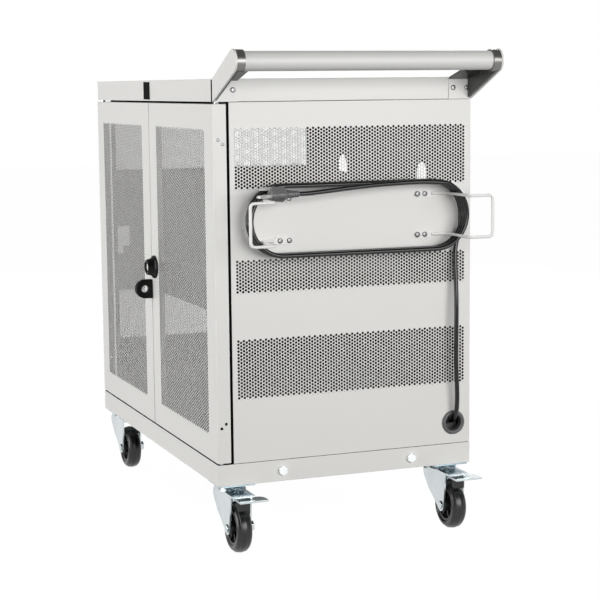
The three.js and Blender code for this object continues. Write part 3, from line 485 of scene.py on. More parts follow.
def dressed(node, name, look, body, width, segments, smooth=32.0):
    """A node's shape with rounded edges and smooth round faces."""
    mesh = mesh_from(merged_copy(node), name, smooth)
    return rounded(piece(name, mesh, look, body, (node,)), width, segments)


def outward(bm):
    bmesh.ops.remove_doubles(bm, verts=bm.verts[:], dist=1e-7)
    bmesh.ops.recalc_face_normals(bm, faces=bm.faces[:])


def moulded(bm, name, look, body, nodes=(), smooth=30.0, width=0.0, segments=2):
    """Makes closed shapes into a piece, with rounded edges where a width is given."""
    outward(bm)
    obj = piece(name, mesh_from(bm, name, smooth), look, body, nodes)
    if width:
        rounded(obj, width, segments)
    return obj


def add_rings(bm, rings, closed=False):
    """Joins rings of points by quads; a ring of one point is a pole."""
    rows = [[bm.verts.new(point) for point in ring] for ring in rings]
    pairs = list(zip(rows, rows[1:]))
    if closed:
        pairs.append((rows[-1], rows[0]))
    for lower, upper in pairs:
        count = max(len(lower), len(upper))
        for i in range(count):
            j = (i + 1) % count
            corners = [lower[i % len(lower)], lower[j % len(lower)]]
            corners += [upper[j % len(upper)], upper[i % len(upper)]]
            face = list(dict.fromkeys(corners))
            if len(face) > 2:
                bm.faces.new(face)
    if not closed:
        for ring in (rows[0][::-1], rows[-1]):
            if len(ring) > 2:
                bm.faces.new(ring)


def circle(middle, side, other, radius, count):
    """Points round a circle that lies along two directions."""
    angles = [2 * math.pi * i / count for i in range(count)]
    return [middle + (side * math.cos(angle) + other * math.sin(angle)) * radius for angle in angles]


def add_spun(bm, profile, centre, axis, segments, closed=False):
    """Spins rows of (radius, distance along the axis), in millimetres, about an axis through a point."""
    axis = Vector(axis).normalized()
    side = axis.orthogonal().normalized()
    other = axis.cross(side)
    rings = []
    for radius, along in profile:
        middle = centre + axis * along * MM
        rings.append(circle(middle, side, other, radius * MM, segments if radius else 1))
    add_rings(bm, rings, closed)


def add_box(bm, low, high):
    """A box between two corners in the cabinet's millimetres."""
    a = at(*low)
    b = at(*high)
    matrix = Matrix.Translation((a + b) / 2) @ Matrix.Diagonal((*(b - a), 1.0))
    bmesh.ops.create_cube(bm, size=1.0, matrix=matrix)


def tube_rings(points, radius, sides):
    """Rings round a path of points in metres, carried along without twist."""
    rings = []
    normal = None
    for i, point in enumerate(points):
        before = points[max(i - 1, 0)]
        after = points[min(i + 1, len(points) - 1)]
        tangent = (after - before).normalized()
        if normal is None:
            normal = tangent.orthogonal().normalized()
        normal = (normal - tangent * normal.dot(tangent)).normalized()
        rings.append(circle(point, normal, tangent.cross(normal), radius, sides))
    return rings


def rounded_path(corners, radius, steps=8):
    """A path through corner points in metres with a round bend at each inner corner."""
    points = [corners[0]]
    for i in range(1, len(corners) - 1):
        back = corners[i] + (corners[i - 1] - corners[i]).normalized() * radius
        ahead = corners[i] + (corners[i + 1] - corners[i]).normalized() * radius
        for k in range(steps + 1):
            t = k / steps
            points.append(back.lerp(corners[i], t).lerp(corners[i].lerp(ahead, t), t))
    points.append(corners[-1])
    return points


def smooth_path(points, steps):
    """A path through every given point, rounded between them."""
    path = []
    for i in range(len(points) - 1):
        a = points[max(i - 1, 0)]
        b = points[i]
        c = points[i + 1]
        d = points[min(i + 2, len(points) - 1)]
        span = (c - b).length
        start = (c - a) * (span / max((c - b).length + (b - a).length, 1e-9))
        end = (d - b) * (span / max((d - c).length + (c - b).length, 1e-9))
        for k in range(steps):
            t = k / steps
            path.append(
                b * (2 * t**3 - 3 * t**2 + 1)
                + start * (t**3 - 2 * t**2 + t)
                + c * (3 * t**2 - 2 * t**3)
                + end * (t**3 - t**2)
            )
    path.append(points[-1])
    return path


# Geometry node trees for what repeats
def grow(tree, kind, values, **settings):
    """The outputs of a new geometry node."""
    return add_node(tree, f"GeometryNode{kind}", values, **settings).outputs


def finish_tree(tree, leave, geometry, material):
    real = grow(tree, "RealizeInstances", {"Geometry": geometry})
    painted = grow(tree, "SetMaterial", {"Geometry": real[0], "Material": material})
    feed(tree, leave, {"Geometry": painted[0]})


def perforated_field(name):
    """A flat field of staggered holes, in full columns and columns with one hole less."""
    inputs = {
        "Columns": "Int", "Rows": "Int", "Pitch": "Float", "Column Step": "Float", "Hole Share": "Float",
        "Material": "Material",
    }
    tree, entry, leave = new_tree(name, "GeometryNodeTree", inputs, {"Geometry": "Geometry"})

    def work(operation, *values):
        return math_node(tree, operation, *values)

    def half_span(number, margin, step):
        """Half of the span over a number of holes, with a margin in steps."""
        half = work("MULTIPLY", work("SUBTRACT", number, 1.0), 0.5)
        return work("MULTIPLY", work("ADD", half, margin), step)

    def places():
        """The places of a mesh's points, by axis."""
        return add_node(tree, "ShaderNodeSeparateXYZ", {0: grow(tree, "InputPosition", {})[0]}).outputs

    def vector(values):
        return add_node(tree, "ShaderNodeCombineXYZ", values).outputs[0]

    columns = entry["Columns"]
    rows = entry["Rows"]
    pitch = entry["Pitch"]
    step = entry["Column Step"]
    width = work("MULTIPLY", work("ADD", columns, 1.0), step)
    grid = grow(tree, "MeshGrid", {
        "Size X": width,
        "Size Y": work("MULTIPLY", work("ADD", rows, 1.0), pitch),
        "Vertices X": work("ADD", columns, 2.0),
        "Vertices Y": work("ADD", rows, 2.0),
    })
    from_edge = work("ADD", places()["X"], work("MULTIPLY", width, 0.5))
    column = work("ROUND", work("DIVIDE", from_edge, step))
    shifted = work("FLOORED_MODULO", work("ADD", column, 1.0), 2.0)
    rise = work("MULTIPLY", shifted, work("MULTIPLY", pitch, 0.5))
    staggered = grow(tree, "SetPosition", {"Geometry": grid["Mesh"], "Offset": vector({"Y": rise})})
    triangles = grow(tree, "Triangulate", {"Mesh": staggered[0]}, quad_method="SHORTEST_DIAGONAL")
    cells = grow(tree, "DualMesh", {"Mesh": triangles[0], "Keep Boundaries": True})
    apart = places()
    edge = half_span(rows, 0.6, pitch)
    level = work("MAXIMUM", work("MINIMUM", apart["Y"], edge), work("MULTIPLY", edge, -1.0))
    levelled = vector({"X": apart["X"], "Y": level})
    trimmed = grow(tree, "SetPosition", {"Geometry": cells[0], "Position": levelled})
    area = grow(tree, "InputMeshFaceArea", {})
    flat = add_node(tree, "FunctionNodeCompare", {0: area[0], 1: 1e-9}, operation="LESS_THAN").outputs[0]
    kept = grow(tree, "DeleteGeometry", {"Geometry": trimmed[0], "Selection": flat}, domain="FACE")
    welded = grow(tree, "MergeByDistance", {"Geometry": kept[0], "Distance": 1e-6})
    inside_x = work("LESS_THAN", work("ABSOLUTE", apart["X"]), half_span(columns, 0.25, step))
    inside_y = work("LESS_THAN", work("ABSOLUTE", apart["Y"]), half_span(rows, 0.25, pitch))
    inset = grow(tree, "ExtrudeMesh", {
        "Mesh": welded[0],
        "Selection": work("MULTIPLY", inside_x, inside_y),
        "Offset Scale": 0.0,
        "Individual": True,
    }, mode="FACES")
    drawn = grow(tree, "ScaleElements", {
        "Geometry": inset["Mesh"],
        "Selection": inset["Top"],
        "Scale": entry["Hole Share"],
    }, domain="FACE")
    pierced = grow(tree, "DeleteGeometry", {"Geometry": drawn[0], "Selection": inset["Top"]}, domain="FACE")
    finish_tree(tree, leave, pierced[0], entry["Material"])
    return tree


def screw_heads(name):
    """Domed heads with a sunk drive, standing on points along each point's facing."""
    inputs = {
        "Points": "Geometry", "Head Radius": "Float", "Head Height": "Float", "Drive Share": "Float",
        "Material": "Material",
    }
    tree, entry, leave = new_tree(name, "GeometryNodeTree", inputs, {"Geometry": "Geometry"})
    height = entry["Head Height"]

    def stepped(mesh, top, rise, share):
        """Raises a mesh's top face by a rise and then scales it by a share."""
        values = {"Mesh": mesh, "Selection": top, "Offset Scale": rise}
        raised = grow(tree, "ExtrudeMesh", values, mode="FACES")
        values = {"Geometry": raised["Mesh"], "Selection": raised["Top"], "Scale": share}
        return grow(tree, "ScaleElements", values, domain="FACE")[0], raised["Top"]

    head = grow(tree, "MeshCylinder", {"Vertices": 18, "Radius": entry["Head Radius"], "Depth": height})
    crown = stepped(head["Mesh"], head["Top"], math_node(tree, "MULTIPLY", height, 0.45), 0.74)
    drive = stepped(*crown, 0.0, entry["Drive Share"])
    sunk = stepped(*drive, math_node(tree, "MULTIPLY", height, -0.8), 1.0)[0]
    facing = grow(tree, "InputNamedAttribute", {"Name": "facing"}, data_type="FLOAT_VECTOR")
    turned = add_node(tree, "FunctionNodeAlignRotationToVector", {"Vector": facing[0]}, axis="Z").outputs[0]
    values = {"Points": entry["Points"], "Instance": sunk, "Rotation": turned}
    standing = grow(tree, "InstanceOnPoints", values)
    finish_tree(tree, leave, standing[0], entry["Material"])
    return tree


def grown_mesh(name, tree, values, points=()):
    """Runs a geometry tree and gives its result as a plain mesh."""
    seed = bpy.data.meshes.new(name)
    seed.from_pydata([place for place, facing in points], [], [])
    if points:
        facings = seed.attributes.new("facing", "FLOAT_VECTOR", "POINT")
        for item, (place, facing) in zip(facings.data, points):
            item.vector = facing
    holder = placed(name, seed)
    grower = holder.modifiers.new("Grown", "NODES")
    grower.node_group = tree
    for item in tree.interface.items_tree:
        if item.in_out == "INPUT" and item.name in values:
            grower[item.identifier] = values[item.name]
    evaluated = holder.evaluated_get(bpy.context.evaluated_depsgraph_get())
    mesh = bpy.data.meshes.new_from_object(evaluated)
    holder.modifiers.remove(grower)
    bpy.data.objects.remove(holder)
    bpy.data.meshes.remove(seed)
    return mesh


def hole_field(name, columns, rows, matrix, widen):
    """A perforated field as an open sheet whose outer face lies on the matrix's plane."""
    pitch = sizes().hole_pitch
    equal_area = math.sqrt(math.pi / (1.5 * math.sqrt(3.0)))
    across = sizes().hole_diameter * widen / 2 * equal_area
    mesh = grown_mesh(name, shared_tree("Perforated field", perforated_field), {
        "Columns": columns,
        "Rows": rows,
        "Pitch": pitch,
        "Column Step": pitch * math.sqrt(3.0) / 2,
        "Hole Share": across / (pitch / math.sqrt(3.0)),
        "Material": finish("Paint with painted inner shade"),
    })
    mesh.transform(matrix)
    return mesh


def field_window(u, v, columns, rows):
    """The window that a perforated field fills about its middle, in millimetres."""
    pitch = sizes().hole_pitch / MM
    half_wide = (columns + 1) * pitch * math.sqrt(3.0) / 4
    half_tall = (rows - 1 + 1.2) * pitch / 2
    return u - half_wide, v - half_tall, u + half_wide, v + half_tall


def pan_mesh(name, low, high, windows, place, depth, outside):
    """A folded pan: a face cut by windows and a flange all round, as an open sheet facing out."""
    us = sorted({low[0], high[0], *(u for window in windows for u in window[::2])})
    vs = sorted({low[1], high[1], *(v for window in windows for v in window[1::2])})
    bm = bmesh.new()
    grid = {}
    for i, u in enumerate(us):
        for j, v in enumerate(vs):
            grid[i, j] = bm.verts.new(place(u, v, 0))
    for i in range(len(us) - 1):
        for j in range(len(vs) - 1):
            middle_u = (us[i] + us[i + 1]) / 2
            middle_v = (vs[j] + vs[j + 1]) / 2
            if any(a < middle_u < c and b < middle_v < d for a, b, c, d in windows):
                continue
            bm.faces.new([grid[i, j], grid[i + 1, j], grid[i + 1, j + 1], grid[i, j + 1]])
    last_i = len(us) - 1
    last_j = len(vs) - 1
    around = [(i, 0) for i in range(last_i)]
    around += [(last_i, j) for j in range(last_j)]
    around += [(i, last_j) for i in range(last_i, 0, -1)]
    around += [(0, j) for j in range(last_j, 0, -1)]
    back = {key: bm.verts.new(place(us[key[0]], vs[key[1]], depth)) for key in around}
    for first, second in zip(around, around[1:] + around[:1]):
        bm.faces.new([grid[first], grid[second], back[second], back[first]])
    for vertex in [v for v in bm.verts if not v.link_faces]:
        bm.verts.remove(vertex)
    bmesh.ops.recalc_face_normals(bm, faces=bm.faces[:])
    bm.faces.ensure_lookup_table()
    if bm.faces[0].normal.dot(outside) < 0:
        bmesh.ops.reverse_faces(bm, faces=bm.faces[:])
    return mesh_from(bm, name, 40.0)


def thicken(obj, thickness):
    """Gives a sheet its thickness, behind its outer face."""
    wall = obj.modifiers.new("Sheet", "SOLIDIFY")
    wall.thickness = thickness
    wall.offset = -1.0


def fold_sheet(obj):
    """Rounds a pan's bends and gives its sheet a thickness inwards."""
    rounded(obj, sizes().bend_radius, 3, 60.0)
    thicken(obj, PAN_SHEET * MM)


def thicken_holes(obj):
    thicken(obj, sizes().hole_sheet)


class CART_OT_stage(bpy.types.Operator):
    """Camera, white floor and soft studio light"""

    bl_idname = "cart.stage"
    bl_label = "Stage"
    camera_place = (2592.4, -946.9, 690.5)
    camera_azimuth = 68.893
    camera_elevation = 7.4222
    camera_roll = -0.5753
    floor_tone = 0.04
    floor_shown = 0.98
    fill_light = 0.22
    # An axis, the stretch along it where the mirrored surroundings change, and their strengths at its ends
    mirrored_changes = (("Z", 0.1, 0.55, 0.95, 0.2), ("X", 0.15, 0.9, 1.0, 0.3), ("Y", -0.95, -0.5, 0.3, 1.0))
    lamp_aim = (0, 0, 380)
    lamp_rows = (
        ("Door softbox", (0, -2500, 800), 1.8, 1.8, 53.0),
        ("Side softbox", (2700, 350, 850), 2.4, 1.1, 55.5),
        ("Back softbox", (-1800, 2300, 1500), 1.8, 1.8, 60.0),
    )

    def execute(self, context):
        self.camera(context)
        self.floor()
        self.world(context)
        self.lamps()
        context.scene.view_settings.view_transform = "Standard"
        return {"FINISHED"}

    def camera(self, context):
        data = bpy.data.cameras.new("Photo camera")
        data.sensor_width = 36.0
        data.lens = 98.375
        data.clip_end = 50.0
        camera = placed("Photo camera", data)
        turn = Matrix.Rotation(math.radians(self.camera_azimuth), 4, "Z")
        tilt = Matrix.Rotation(math.radians(90.0 - self.camera_elevation), 4, "X")
        roll = Matrix.Rotation(math.radians(self.camera_roll), 4, "Z")
        camera.matrix_world = Matrix.Translation(at(*self.camera_place)) @ turn @ tilt @ roll
        context.scene.camera = camera

    def floor(self):
        bm = bmesh.new()
        bmesh.ops.create_grid(bm, x_segments=8, y_segments=8, size=12.0)
        floor = placed("Studio floor", mesh_from(bm, "Studio floor"))
        material = bpy.data.materials.new("Studio floor")
        material.use_nodes = True
        tree = material.node_tree
        path = tree.nodes.new("ShaderNodeLightPath").outputs
        seen = math_node(tree, "MAXIMUM", path["Is Camera Ray"], path["Is Glossy Ray"])
        shown = math_node(tree, "MAXIMUM", seen, path["Is Transmission Ray"])
        feed(tree, tree.nodes["Principled BSDF"], {
            "Base Color": (self.floor_tone, self.floor_tone, self.floor_tone, 1.0),
            "Roughness": 0.9,
            "Specular IOR Level": 0.0,
            "Emission Color": (1.0, 1.0, 1.0, 1.0),
            "Emission Strength": math_node(tree, "MULTIPLY", shown, self.floor_shown),
        })
        floor.data.materials.append(material)

    def world(self, context):
        world = bpy.data.worlds.new("Studio")
        context.scene.world = world
        world.use_nodes = True
        tree = world.node_tree
        path = tree.nodes.new("ShaderNodeLightPath").outputs
        direction = tree.nodes.new("ShaderNodeTexCoord")
        parted = add_node(tree, "ShaderNodeSeparateXYZ", {0: direction.outputs["Generated"]})
        mirrored = path["Is Glossy Ray"]
        for axis, start, stop, first, last in self.mirrored_changes:
            change = add_node(tree, "ShaderNodeMapRange", {
                "Value": parted.outputs[axis],
                "From Min": start,
                "From Max": stop,
                "To Min": first,
                "To Max": last,
            }, interpolation_type="SMOOTHSTEP")
            mirrored = math_node(tree, "MULTIPLY", mirrored, change.outputs[0])
        seen = math_node(tree, "MAXIMUM", path["Is Camera Ray"], path["Is Transmission Ray"])
        shown = math_node(tree, "MAXIMUM", seen, path["Is Glossy Ray"])
        fill = math_node(tree, "MULTIPLY", math_node(tree, "SUBTRACT", 1.0, shown), self.fill_light)
        strength = math_node(tree, "ADD", math_node(tree, "ADD", seen, mirrored), fill)
        feed(tree, tree.nodes["Background"], {"Color": (1.0, 1.0, 1.0, 1.0), "Strength": strength})

    def lamps(self):
        for name, place, wide, tall, energy in self.lamp_rows:
            data = bpy.data.lights.new(name, "AREA")
            data.shape = "RECTANGLE"
            data.size = wide
            data.size_y = tall
            data.energy = energy
            lamp = placed(name, data)
            lamp.location = at(*place)
            aim = at(*self.lamp_aim) - lamp.location
            lamp.rotation_euler = aim.to_track_quat("-Z", "Y").to_euler()


# The lead's route, in millimetres, as its places from the grommet and from the winding's middle
DROP_ROUTE = (
    (-33.7, 0, 0), (-24, 0, 0), (-15, 0, 0), (-7.5, 0, 1), (-0.5, 0, 3.9), (5.5, -0.2, 8.5),
    (10.1, -0.4, 14.5), (13, -0.4, 21.5), (14, -0.2, 29), (14.8, -0.2, 42), (16, -1.2, 62), (17, -2.8, 86),
    (17.5, -3.6, 116), (17.5, -3.3, 145), (17, -2.9, 176), (15.5, -2.5, 205), (13.5, -2.6, 230),
    (11.3, -2.6, 253), (9.9, -1.4, 274), (9.6, 2.4, 290), (9.8, 5.7, 303),
)
TAIL_ROUTE = (
    (34.8, 100, 51), (36.6, 65, 50.7), (39.4, 30, 49.6), (42.6, -5, 47.7), (45.4, -40, 45), (47.2, -68, 42.5),
    (47.9, -86, 41.1), (48, -96, 40.6), (48, -106, 40.5),
)
GROMMET_Y = 178.7
GROMMET_Z = 168.8
WINDING_Y = 12.25
WINDING_Z = 496.0
WINDING_ARC = 122.0
HOOK_CORNER = math.hypot(32.0, 31.0)
HOOK_WIRE = 2.3
LEAD_RADIUS = 3.5
LEAD_GAP = 0.6
WINDING_RADIUS = HOOK_CORNER + HOOK_WIRE + LEAD_RADIUS + LEAD_GAP
WINDING_FIRST = 9.0
WINDING_STEP = 7.7
WINDING_TURNS = 3
ROUTE_STEPS = 6
ARC_STEPS = 30
RUN_STEPS = 8
LEAD_IN = 7.0
PLUG_ROLL = -0.6


def winding_point(segment, share, turn):
    """A place on the winding: right end, top run, left end and lower run, in turn."""
    x = WINDING_FIRST + WINDING_STEP * (turn + (segment + share) / 4)
    side = 1 if segment < 2 else -1
    if segment % 2 == 1:
        return Vector((x, side * WINDING_ARC * (1 - 2 * share), side * WINDING_RADIUS))
    angle = math.pi * (share - side / 2)
    along = side * WINDING_ARC + WINDING_RADIUS * math.cos(angle)
    return Vector((x, along, WINDING_RADIUS * math.sin(angle)))


def lead_path():
    """The lead's centre line from the power strip to its plug, in metres."""
    grommet = Vector((HALF_LENGTH, GROMMET_Y, GROMMET_Z))
    winding = Vector((HALF_LENGTH, WINDING_Y, WINDING_Z))
    drop = [grommet + Vector(place) for place in DROP_ROUTE]
    wound = []
    for turn in range(WINDING_TURNS + 1):
        for segment in range(4 if turn < WINDING_TURNS else 1):
            steps = ARC_STEPS if segment % 2 == 0 else RUN_STEPS
            first = steps // 2 if turn == 0 and segment == 0 else 0
            last = steps if turn < WINDING_TURNS else steps - 2
            wound += [winding + winding_point(segment, i / steps, turn) for i in range(first, last)]
    straight = Vector((0, 0, LEAD_IN))
    lead_in = wound[0] - straight
    drop += [lead_in - straight, lead_in]
    tail = [winding + Vector(place) for place in TAIL_ROUTE]
    rising = smooth_path(drop + wound[:2], ROUTE_STEPS)[:-ROUTE_STEPS]
    ending = smooth_path(wound[-2:] + tail, ROUTE_STEPS)[ROUTE_STEPS:]
    return [at(*place) for place in rising + wound[:-1] + ending]


class CART_OT_mains_lead(bpy.types.Operator):
    """Mains lead wound on the hooks, with its plug and strain reliefs"""

    bl_idname = "cart.mains_lead"
    bl_label = "Mains lead"
    # Half width, half height, squareness and distance from the lead, along the plug's body
    body_rows = (
        (6.6, 6.4, 2.2, 19.2), (9.6, 8.2, 3.0, 21.5), (10.8, 9.0, 4.0, 25.0), (10.3, 8.5, 4.0, 29.0),
        (10.1, 8.3, 4.0, 33.0), (10.9, 9.0, 4.5, 37.0), (11.4, 9.4, 5.0, 39.0), (11.4, 9.4, 5.0, 43.0),
        (10.8, 8.8, 5.0, 44.0),
    )
    blade_edge = 9.6
    blade_wide = 6.4
    blade_apart = 6.35
    blade_outline = ((-43.5, 0.8), (-59.0, 0.8), (-61.0, 0.3), (-61.0, -0.3), (-59.0, -0.8), (-43.5, -0.8))
    ground_place = (-5.5, -43.8, 0)
    ground_profile = ((0, 0), (2.4, 0), (2.4, 15.5), (1.9, 18.0), (1.0, 19.0), (0, 19.2))

    def execute(self, context):
        path = lead_path()
        curve = bpy.data.curves.new("mains_lead", "CURVE")
        curve.dimensions = "3D"
        curve.bevel_depth = sizes().cord_diameter / 2
        curve.bevel_resolution = 4
        curve.use_fill_caps = True
        spline = curve.splines.new("POLY")
        spline.points.add(len(path) - 1)
        for point, place in zip(spline.points, path):
            point.co = (*place, 1.0)
        spline.use_smooth = True
        curve.materials.append(finish("Lead jacket"))
        lead = placed("mains_lead", curve)
        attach(lead, "cabinet")
        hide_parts("cord_drop", "cord_hank")
        end = path[-1] - Vector((0, SEAM * MM, 0))
        turn = Matrix.Translation(end) @ Matrix.Rotation(PLUG_ROLL, 4, "Y")
        body = self.plug_body(turn)
        prongs = self.plug_prongs(turn)
        relief = self.strip_relief(path[0])
        return {"FINISHED"}

    def section(self, wide, tall, power, along, count=40):
        """A rounded outline across the plug's length, in metres."""
        ring = []
        for i in range(count):
            angle = 2 * math.pi * i / count
            c = math.cos(angle)
            s = math.sin(angle)
            x = math.copysign(abs(c) ** (2 / power), c) * wide
            z = math.copysign(abs(s) ** (2 / power), s) * tall
            ring.append(Vector((x, -along, z)) * MM)
        return ring

    def plug_body(self, turn):
        ribs = [(4.2, 0)]
        for rib in range(5):
            start = 0.8 + rib * 3.6
            swell = 4.7 + rib * 0.32
            groove = swell - 0.9
            ribs += [(swell, start), (swell + 0.1, start + 2.2), (groove, start + 2.5), (groove, start + 3.4)]
        rings = [self.section(radius, radius, 2, along) for radius, along in ribs]
        rings += [self.section(*row) for row in self.body_rows]
        bm = bmesh.new()
        add_rings(bm, rings)
        bm.transform(turn)
        return moulded(bm, "plug_moulding", "Plug moulding", "cabinet", ("plug_body",), 38.0)

    def plug_prongs(self, turn):
        bm = bmesh.new()
        edges = (self.blade_edge - self.blade_wide, self.blade_edge)
        for middle in (-self.blade_apart, self.blade_apart):
            outline = [(y, middle + z) for y, z in self.blade_outline]
            add_rings(bm, [[Vector((x, y, z)) * MM for y, z in outline] for x in edges])
        add_spun(bm, self.ground_profile, Vector(self.ground_place) * MM, (0, -1, 0), 20)
        bm.transform(turn)
        return moulded(bm, "plug_blades", "Nickel plate", "cabinet", ("plug_prongs",), 32.0)

    def strip_relief(self, start):
        profile = [(9.0, -0.2), (9.0, 2.5), (7.6, 3.4)]
        for rib in range(4):
            taper = rib * 0.8
            along = 4.2 + rib * 4.4
            profile += [(7.4 - taper, along), (7.2 - taper, along + 3.0), (5.6 - rib * 0.3, along + 3.2)]
        profile += [(4.4, 22.0), (3.7, 22.0)]
        bm = bmesh.new()
        add_spun(bm, profile, Vector(start), (1, 0, 0), 32)
        return moulded(bm, "strip_strain_relief", "Black moulding", "cabinet", smooth=32.0)


class CART_OT_side_panels(bpy.types.Operator):
    """Perforated side panels with their folded flanges"""

    bl_idname = "cart.side_panels"
    bl_label = "Side panels"
    bands = ((484.75, 18), (311.75, 10), (174.0, 18))
    field_middle = 11.0
    grommet_window = 13.1
    far_widen = 1.12

    def execute(self, context):
        # Painted shade on the near panel's holes and inner side, painted light on the far panel's holes
        self.panel(1, "handle_side_panel", "Perforated paint with painted shade", 1.0)
        self.panel(-1, "far_side_panel", "Paint with painted inner light", self.far_widen)
        return {"FINISHED"}

    def panel(self, end, node, coat, widen):
        low, high = node_span(node)
        columns = sizes().panel_columns
        windows = []
        for middle, rows in self.bands:
            windows.append(field_window(self.field_middle, BASE + middle, columns, rows))
        if end > 0:
            r = self.grommet_window
            windows.append((GROMMET_Y - r, GROMMET_Z - r, GROMMET_Y + r, GROMMET_Z + r))

        def place(u, v, w):
            return at(end * (HALF_LENGTH - w), u, v)

        name = f"{node}_sheet"
        mesh = pan_mesh(name, low.yz, high.yz, windows, place, high.x - low.x, Vector((end, 0, 0)))
        piece(name, mesh, "Paint with painted inner shade", "cabinet", (node,), fold_sheet)
        bm = bmesh.new()
        axes = Matrix(((0, 0, end, 0), (end, 0, 0, 0), (0, 1, 0, 0), (0, 0, 0, 1)))
        for index, (middle, rows) in enumerate(self.bands):
            spot = Matrix.Translation(at(end * HALF_LENGTH, self.field_middle, BASE + middle))
            field = hole_field(f"band_{index}", columns, rows, spot @ axes, widen)
            bm.from_mesh(field)
            bpy.data.meshes.remove(field)
        name = f"{node}_holes"
        piece(name, mesh_from(bm, name), coat, "cabinet", (node,), thicken_holes)


class CART_OT_doors(bpy.types.Operator):
    """Two perforated doors, folded round the cabinet's corners"""

    bl_idname = "cart.doors"
    bl_label = "Doors"
    field_middle = 167.5
    field_height = 300.25
    flange_holes = ((-200.6, 87.7), (-193.7, 94.1))
    flange_hole_radius = 2.3
    flange_hole_reach = 4.0
    widen = 1.045

    def execute(self, context):
        for side, word in ((-1, "left"), (1, "right")):
            self.door(side, f"{word}_door")
        return {"FINISHED"}

    def door(self, side, node):
        low, high = node_span(node)
        columns = sizes().door_columns
        rows = sizes().door_rows
        x = side * self.field_middle
        z = BASE + self.field_height
        windows = [field_window(x, z, columns, rows)]

        def place(u, v, w):
            return at(u, low.y + w, v)

        name = f"{node}_sheet"
        mesh = pan_mesh(name, low.xz, high.xz, windows, place, high.y - low.y, Vector((0, -1, 0)))
        sheet = piece(name, mesh, "Door coat", node, (node,), fold_sheet)
        radius = self.flange_hole_radius
        reach = self.flange_hole_reach
        drill = [(0, -reach), (radius, -reach), (radius, reach), (0, reach)]
        bm = bmesh.new()
        for hole_y, hole_z in self.flange_holes:
            add_spun(bm, drill, at(side * HALF_LENGTH, hole_y, BASE + hole_z), (side, 0, 0), 20)
        cut_away(sheet, bm)
        axes = Matrix(((1, 0, 0, 0), (0, 0, -1, 0), (0, 1, 0, 0), (0, 0, 0, 1)))
        middle = Matrix.Translation(at(x, low.y, z)) @ axes
        name = f"{node}_holes"
        field = hole_field(name, columns, rows, middle, self.widen)
        # Painted shade on the door holes' walls
        piece(name, field, "Door hole paint with painted shade", node, (node,), thicken_holes)


class CART_OT_lid_and_base(bpy.types.Operator):
    """Lid, base, rear panel with its hand holes, and the hex bolts in the base"""

    bl_idname = "cart.lid_and_base"
    bl_label = "Lid and base"
    seam_width = 5.5
    seam_depth = 4.5
    seam_top = 1.2
    arch_half = 20.0
    arch_rise = 19.6
    arch_top = 567.5
    arch_steps = 24
    arch_overlap = 1.0
    arch_recess = 0.1

    def execute(self, context):
        width = sizes().bend_radius * 0.8
        # The powder coat paints these sheets' inner sides in shade
        dressed("base_tray", "base_tray_sheet", "Paint with painted inner shade", "cabinet", width, 3)
        lid = dressed("top_cover", "top_cover_sheet", "Paint with painted inner shade", "cabinet", width, 3)
        cut_away(lid, self.corner_seams())
        dressed("rear_panel", "rear_panel_sheet", "Paint with painted inner shade", "cabinet", 0.0005, 2)
        self.hand_hole_arches()
        for index in range(1, 5):
            node = f"base_bolt_{index}"
            dressed(node, f"hex_bolt_{index}", "Bright zinc", "cabinet", 0.0012, 3)
        return {"FINISHED"}

    def hand_hole_arches(self):
        """Sheet that rounds the tops of the two hand holes in the rear panel."""
        low, high = node_span("rear_panel")
        spring = self.arch_top - self.arch_half
        edge = self.arch_half + self.arch_overlap
        crown = self.arch_top + self.arch_overlap
        outline = [(edge, spring), (edge, crown), (-edge, crown), (-edge, spring)]
        for i in range(self.arch_steps + 1):
            angle = math.pi * i / self.arch_steps
            outline.append((-self.arch_half * math.cos(angle), spring + self.arch_rise * math.sin(angle)))
        faces = (low.y + self.arch_recess, high.y - self.arch_recess)
        bm = bmesh.new()
        for middle in (-HALF_LENGTH / 2, HALF_LENGTH / 2):
            add_rings(bm, [[at(middle + x, y, z) for x, z in outline] for y in faces])
        moulded(bm, "hand_hole_arches", "Paint with painted inner shade", "cabinet")

    def corner_seams(self):
        """Open seams where the lid's folded skirts meet at its corners; their walls lie inside the cabinet,
        where the lid's coat paints them in shade.
        """
        low, high = node_span("top_cover")
        bm = bmesh.new()
        for end in (-1, 1):
            for side in (-1, 1):
                x = [end * (HALF_LENGTH - self.seam_width), end * (HALF_LENGTH + 1)]
                y = [side * (HALF_DEPTH - self.seam_depth), side * (HALF_DEPTH + 1)]
                add_box(bm, (min(x), min(y), low.z - 1), (max(x), max(y), high.z - self.seam_top))
        return bm


class CART_OT_inside(bpy.types.Operator):
    """Shelf, divider racks and power strip"""

    bl_idname = "cart.inside"
    bl_label = "Inside"
    lip_sheet = 1.5
    lip_tall = 18.0

    def execute(self, context):
        # The shelf and its lips lie wholly inside, so the powder coat paints them in shade
        dressed("middle_shelf", "shelf_sheet", "Paint with painted inner shade", "cabinet", 0.0012, 3)
        low, high = node_span("middle_shelf")
        bm = bmesh.new()
        for end in (-1, 1):
            inner, outer = sorted((end * (high.x - self.lip_sheet), end * high.x))
            add_box(bm, (inner, low.y + 2, high.z - self.lip_tall), (outer, high.y - 2, high.z - 1))
        moulded(bm, "shelf_end_lips", "Paint with painted inner shade", "cabinet", width=0.0005)
        for word in ("upper", "lower"):
            node = f"{word}_divider_rack"
            dressed(node, f"{word}_rack", "Rack plastic", "cabinet", 0.0009, 2)
        dressed("power_strip", "power_strip_case", "Grey moulding", "cabinet", 0.0012, 3)
        dressed("power_switch", "rocker_switch", "Black moulding", "rocker", 0.0008, 3)
        return {"FINISHED"}


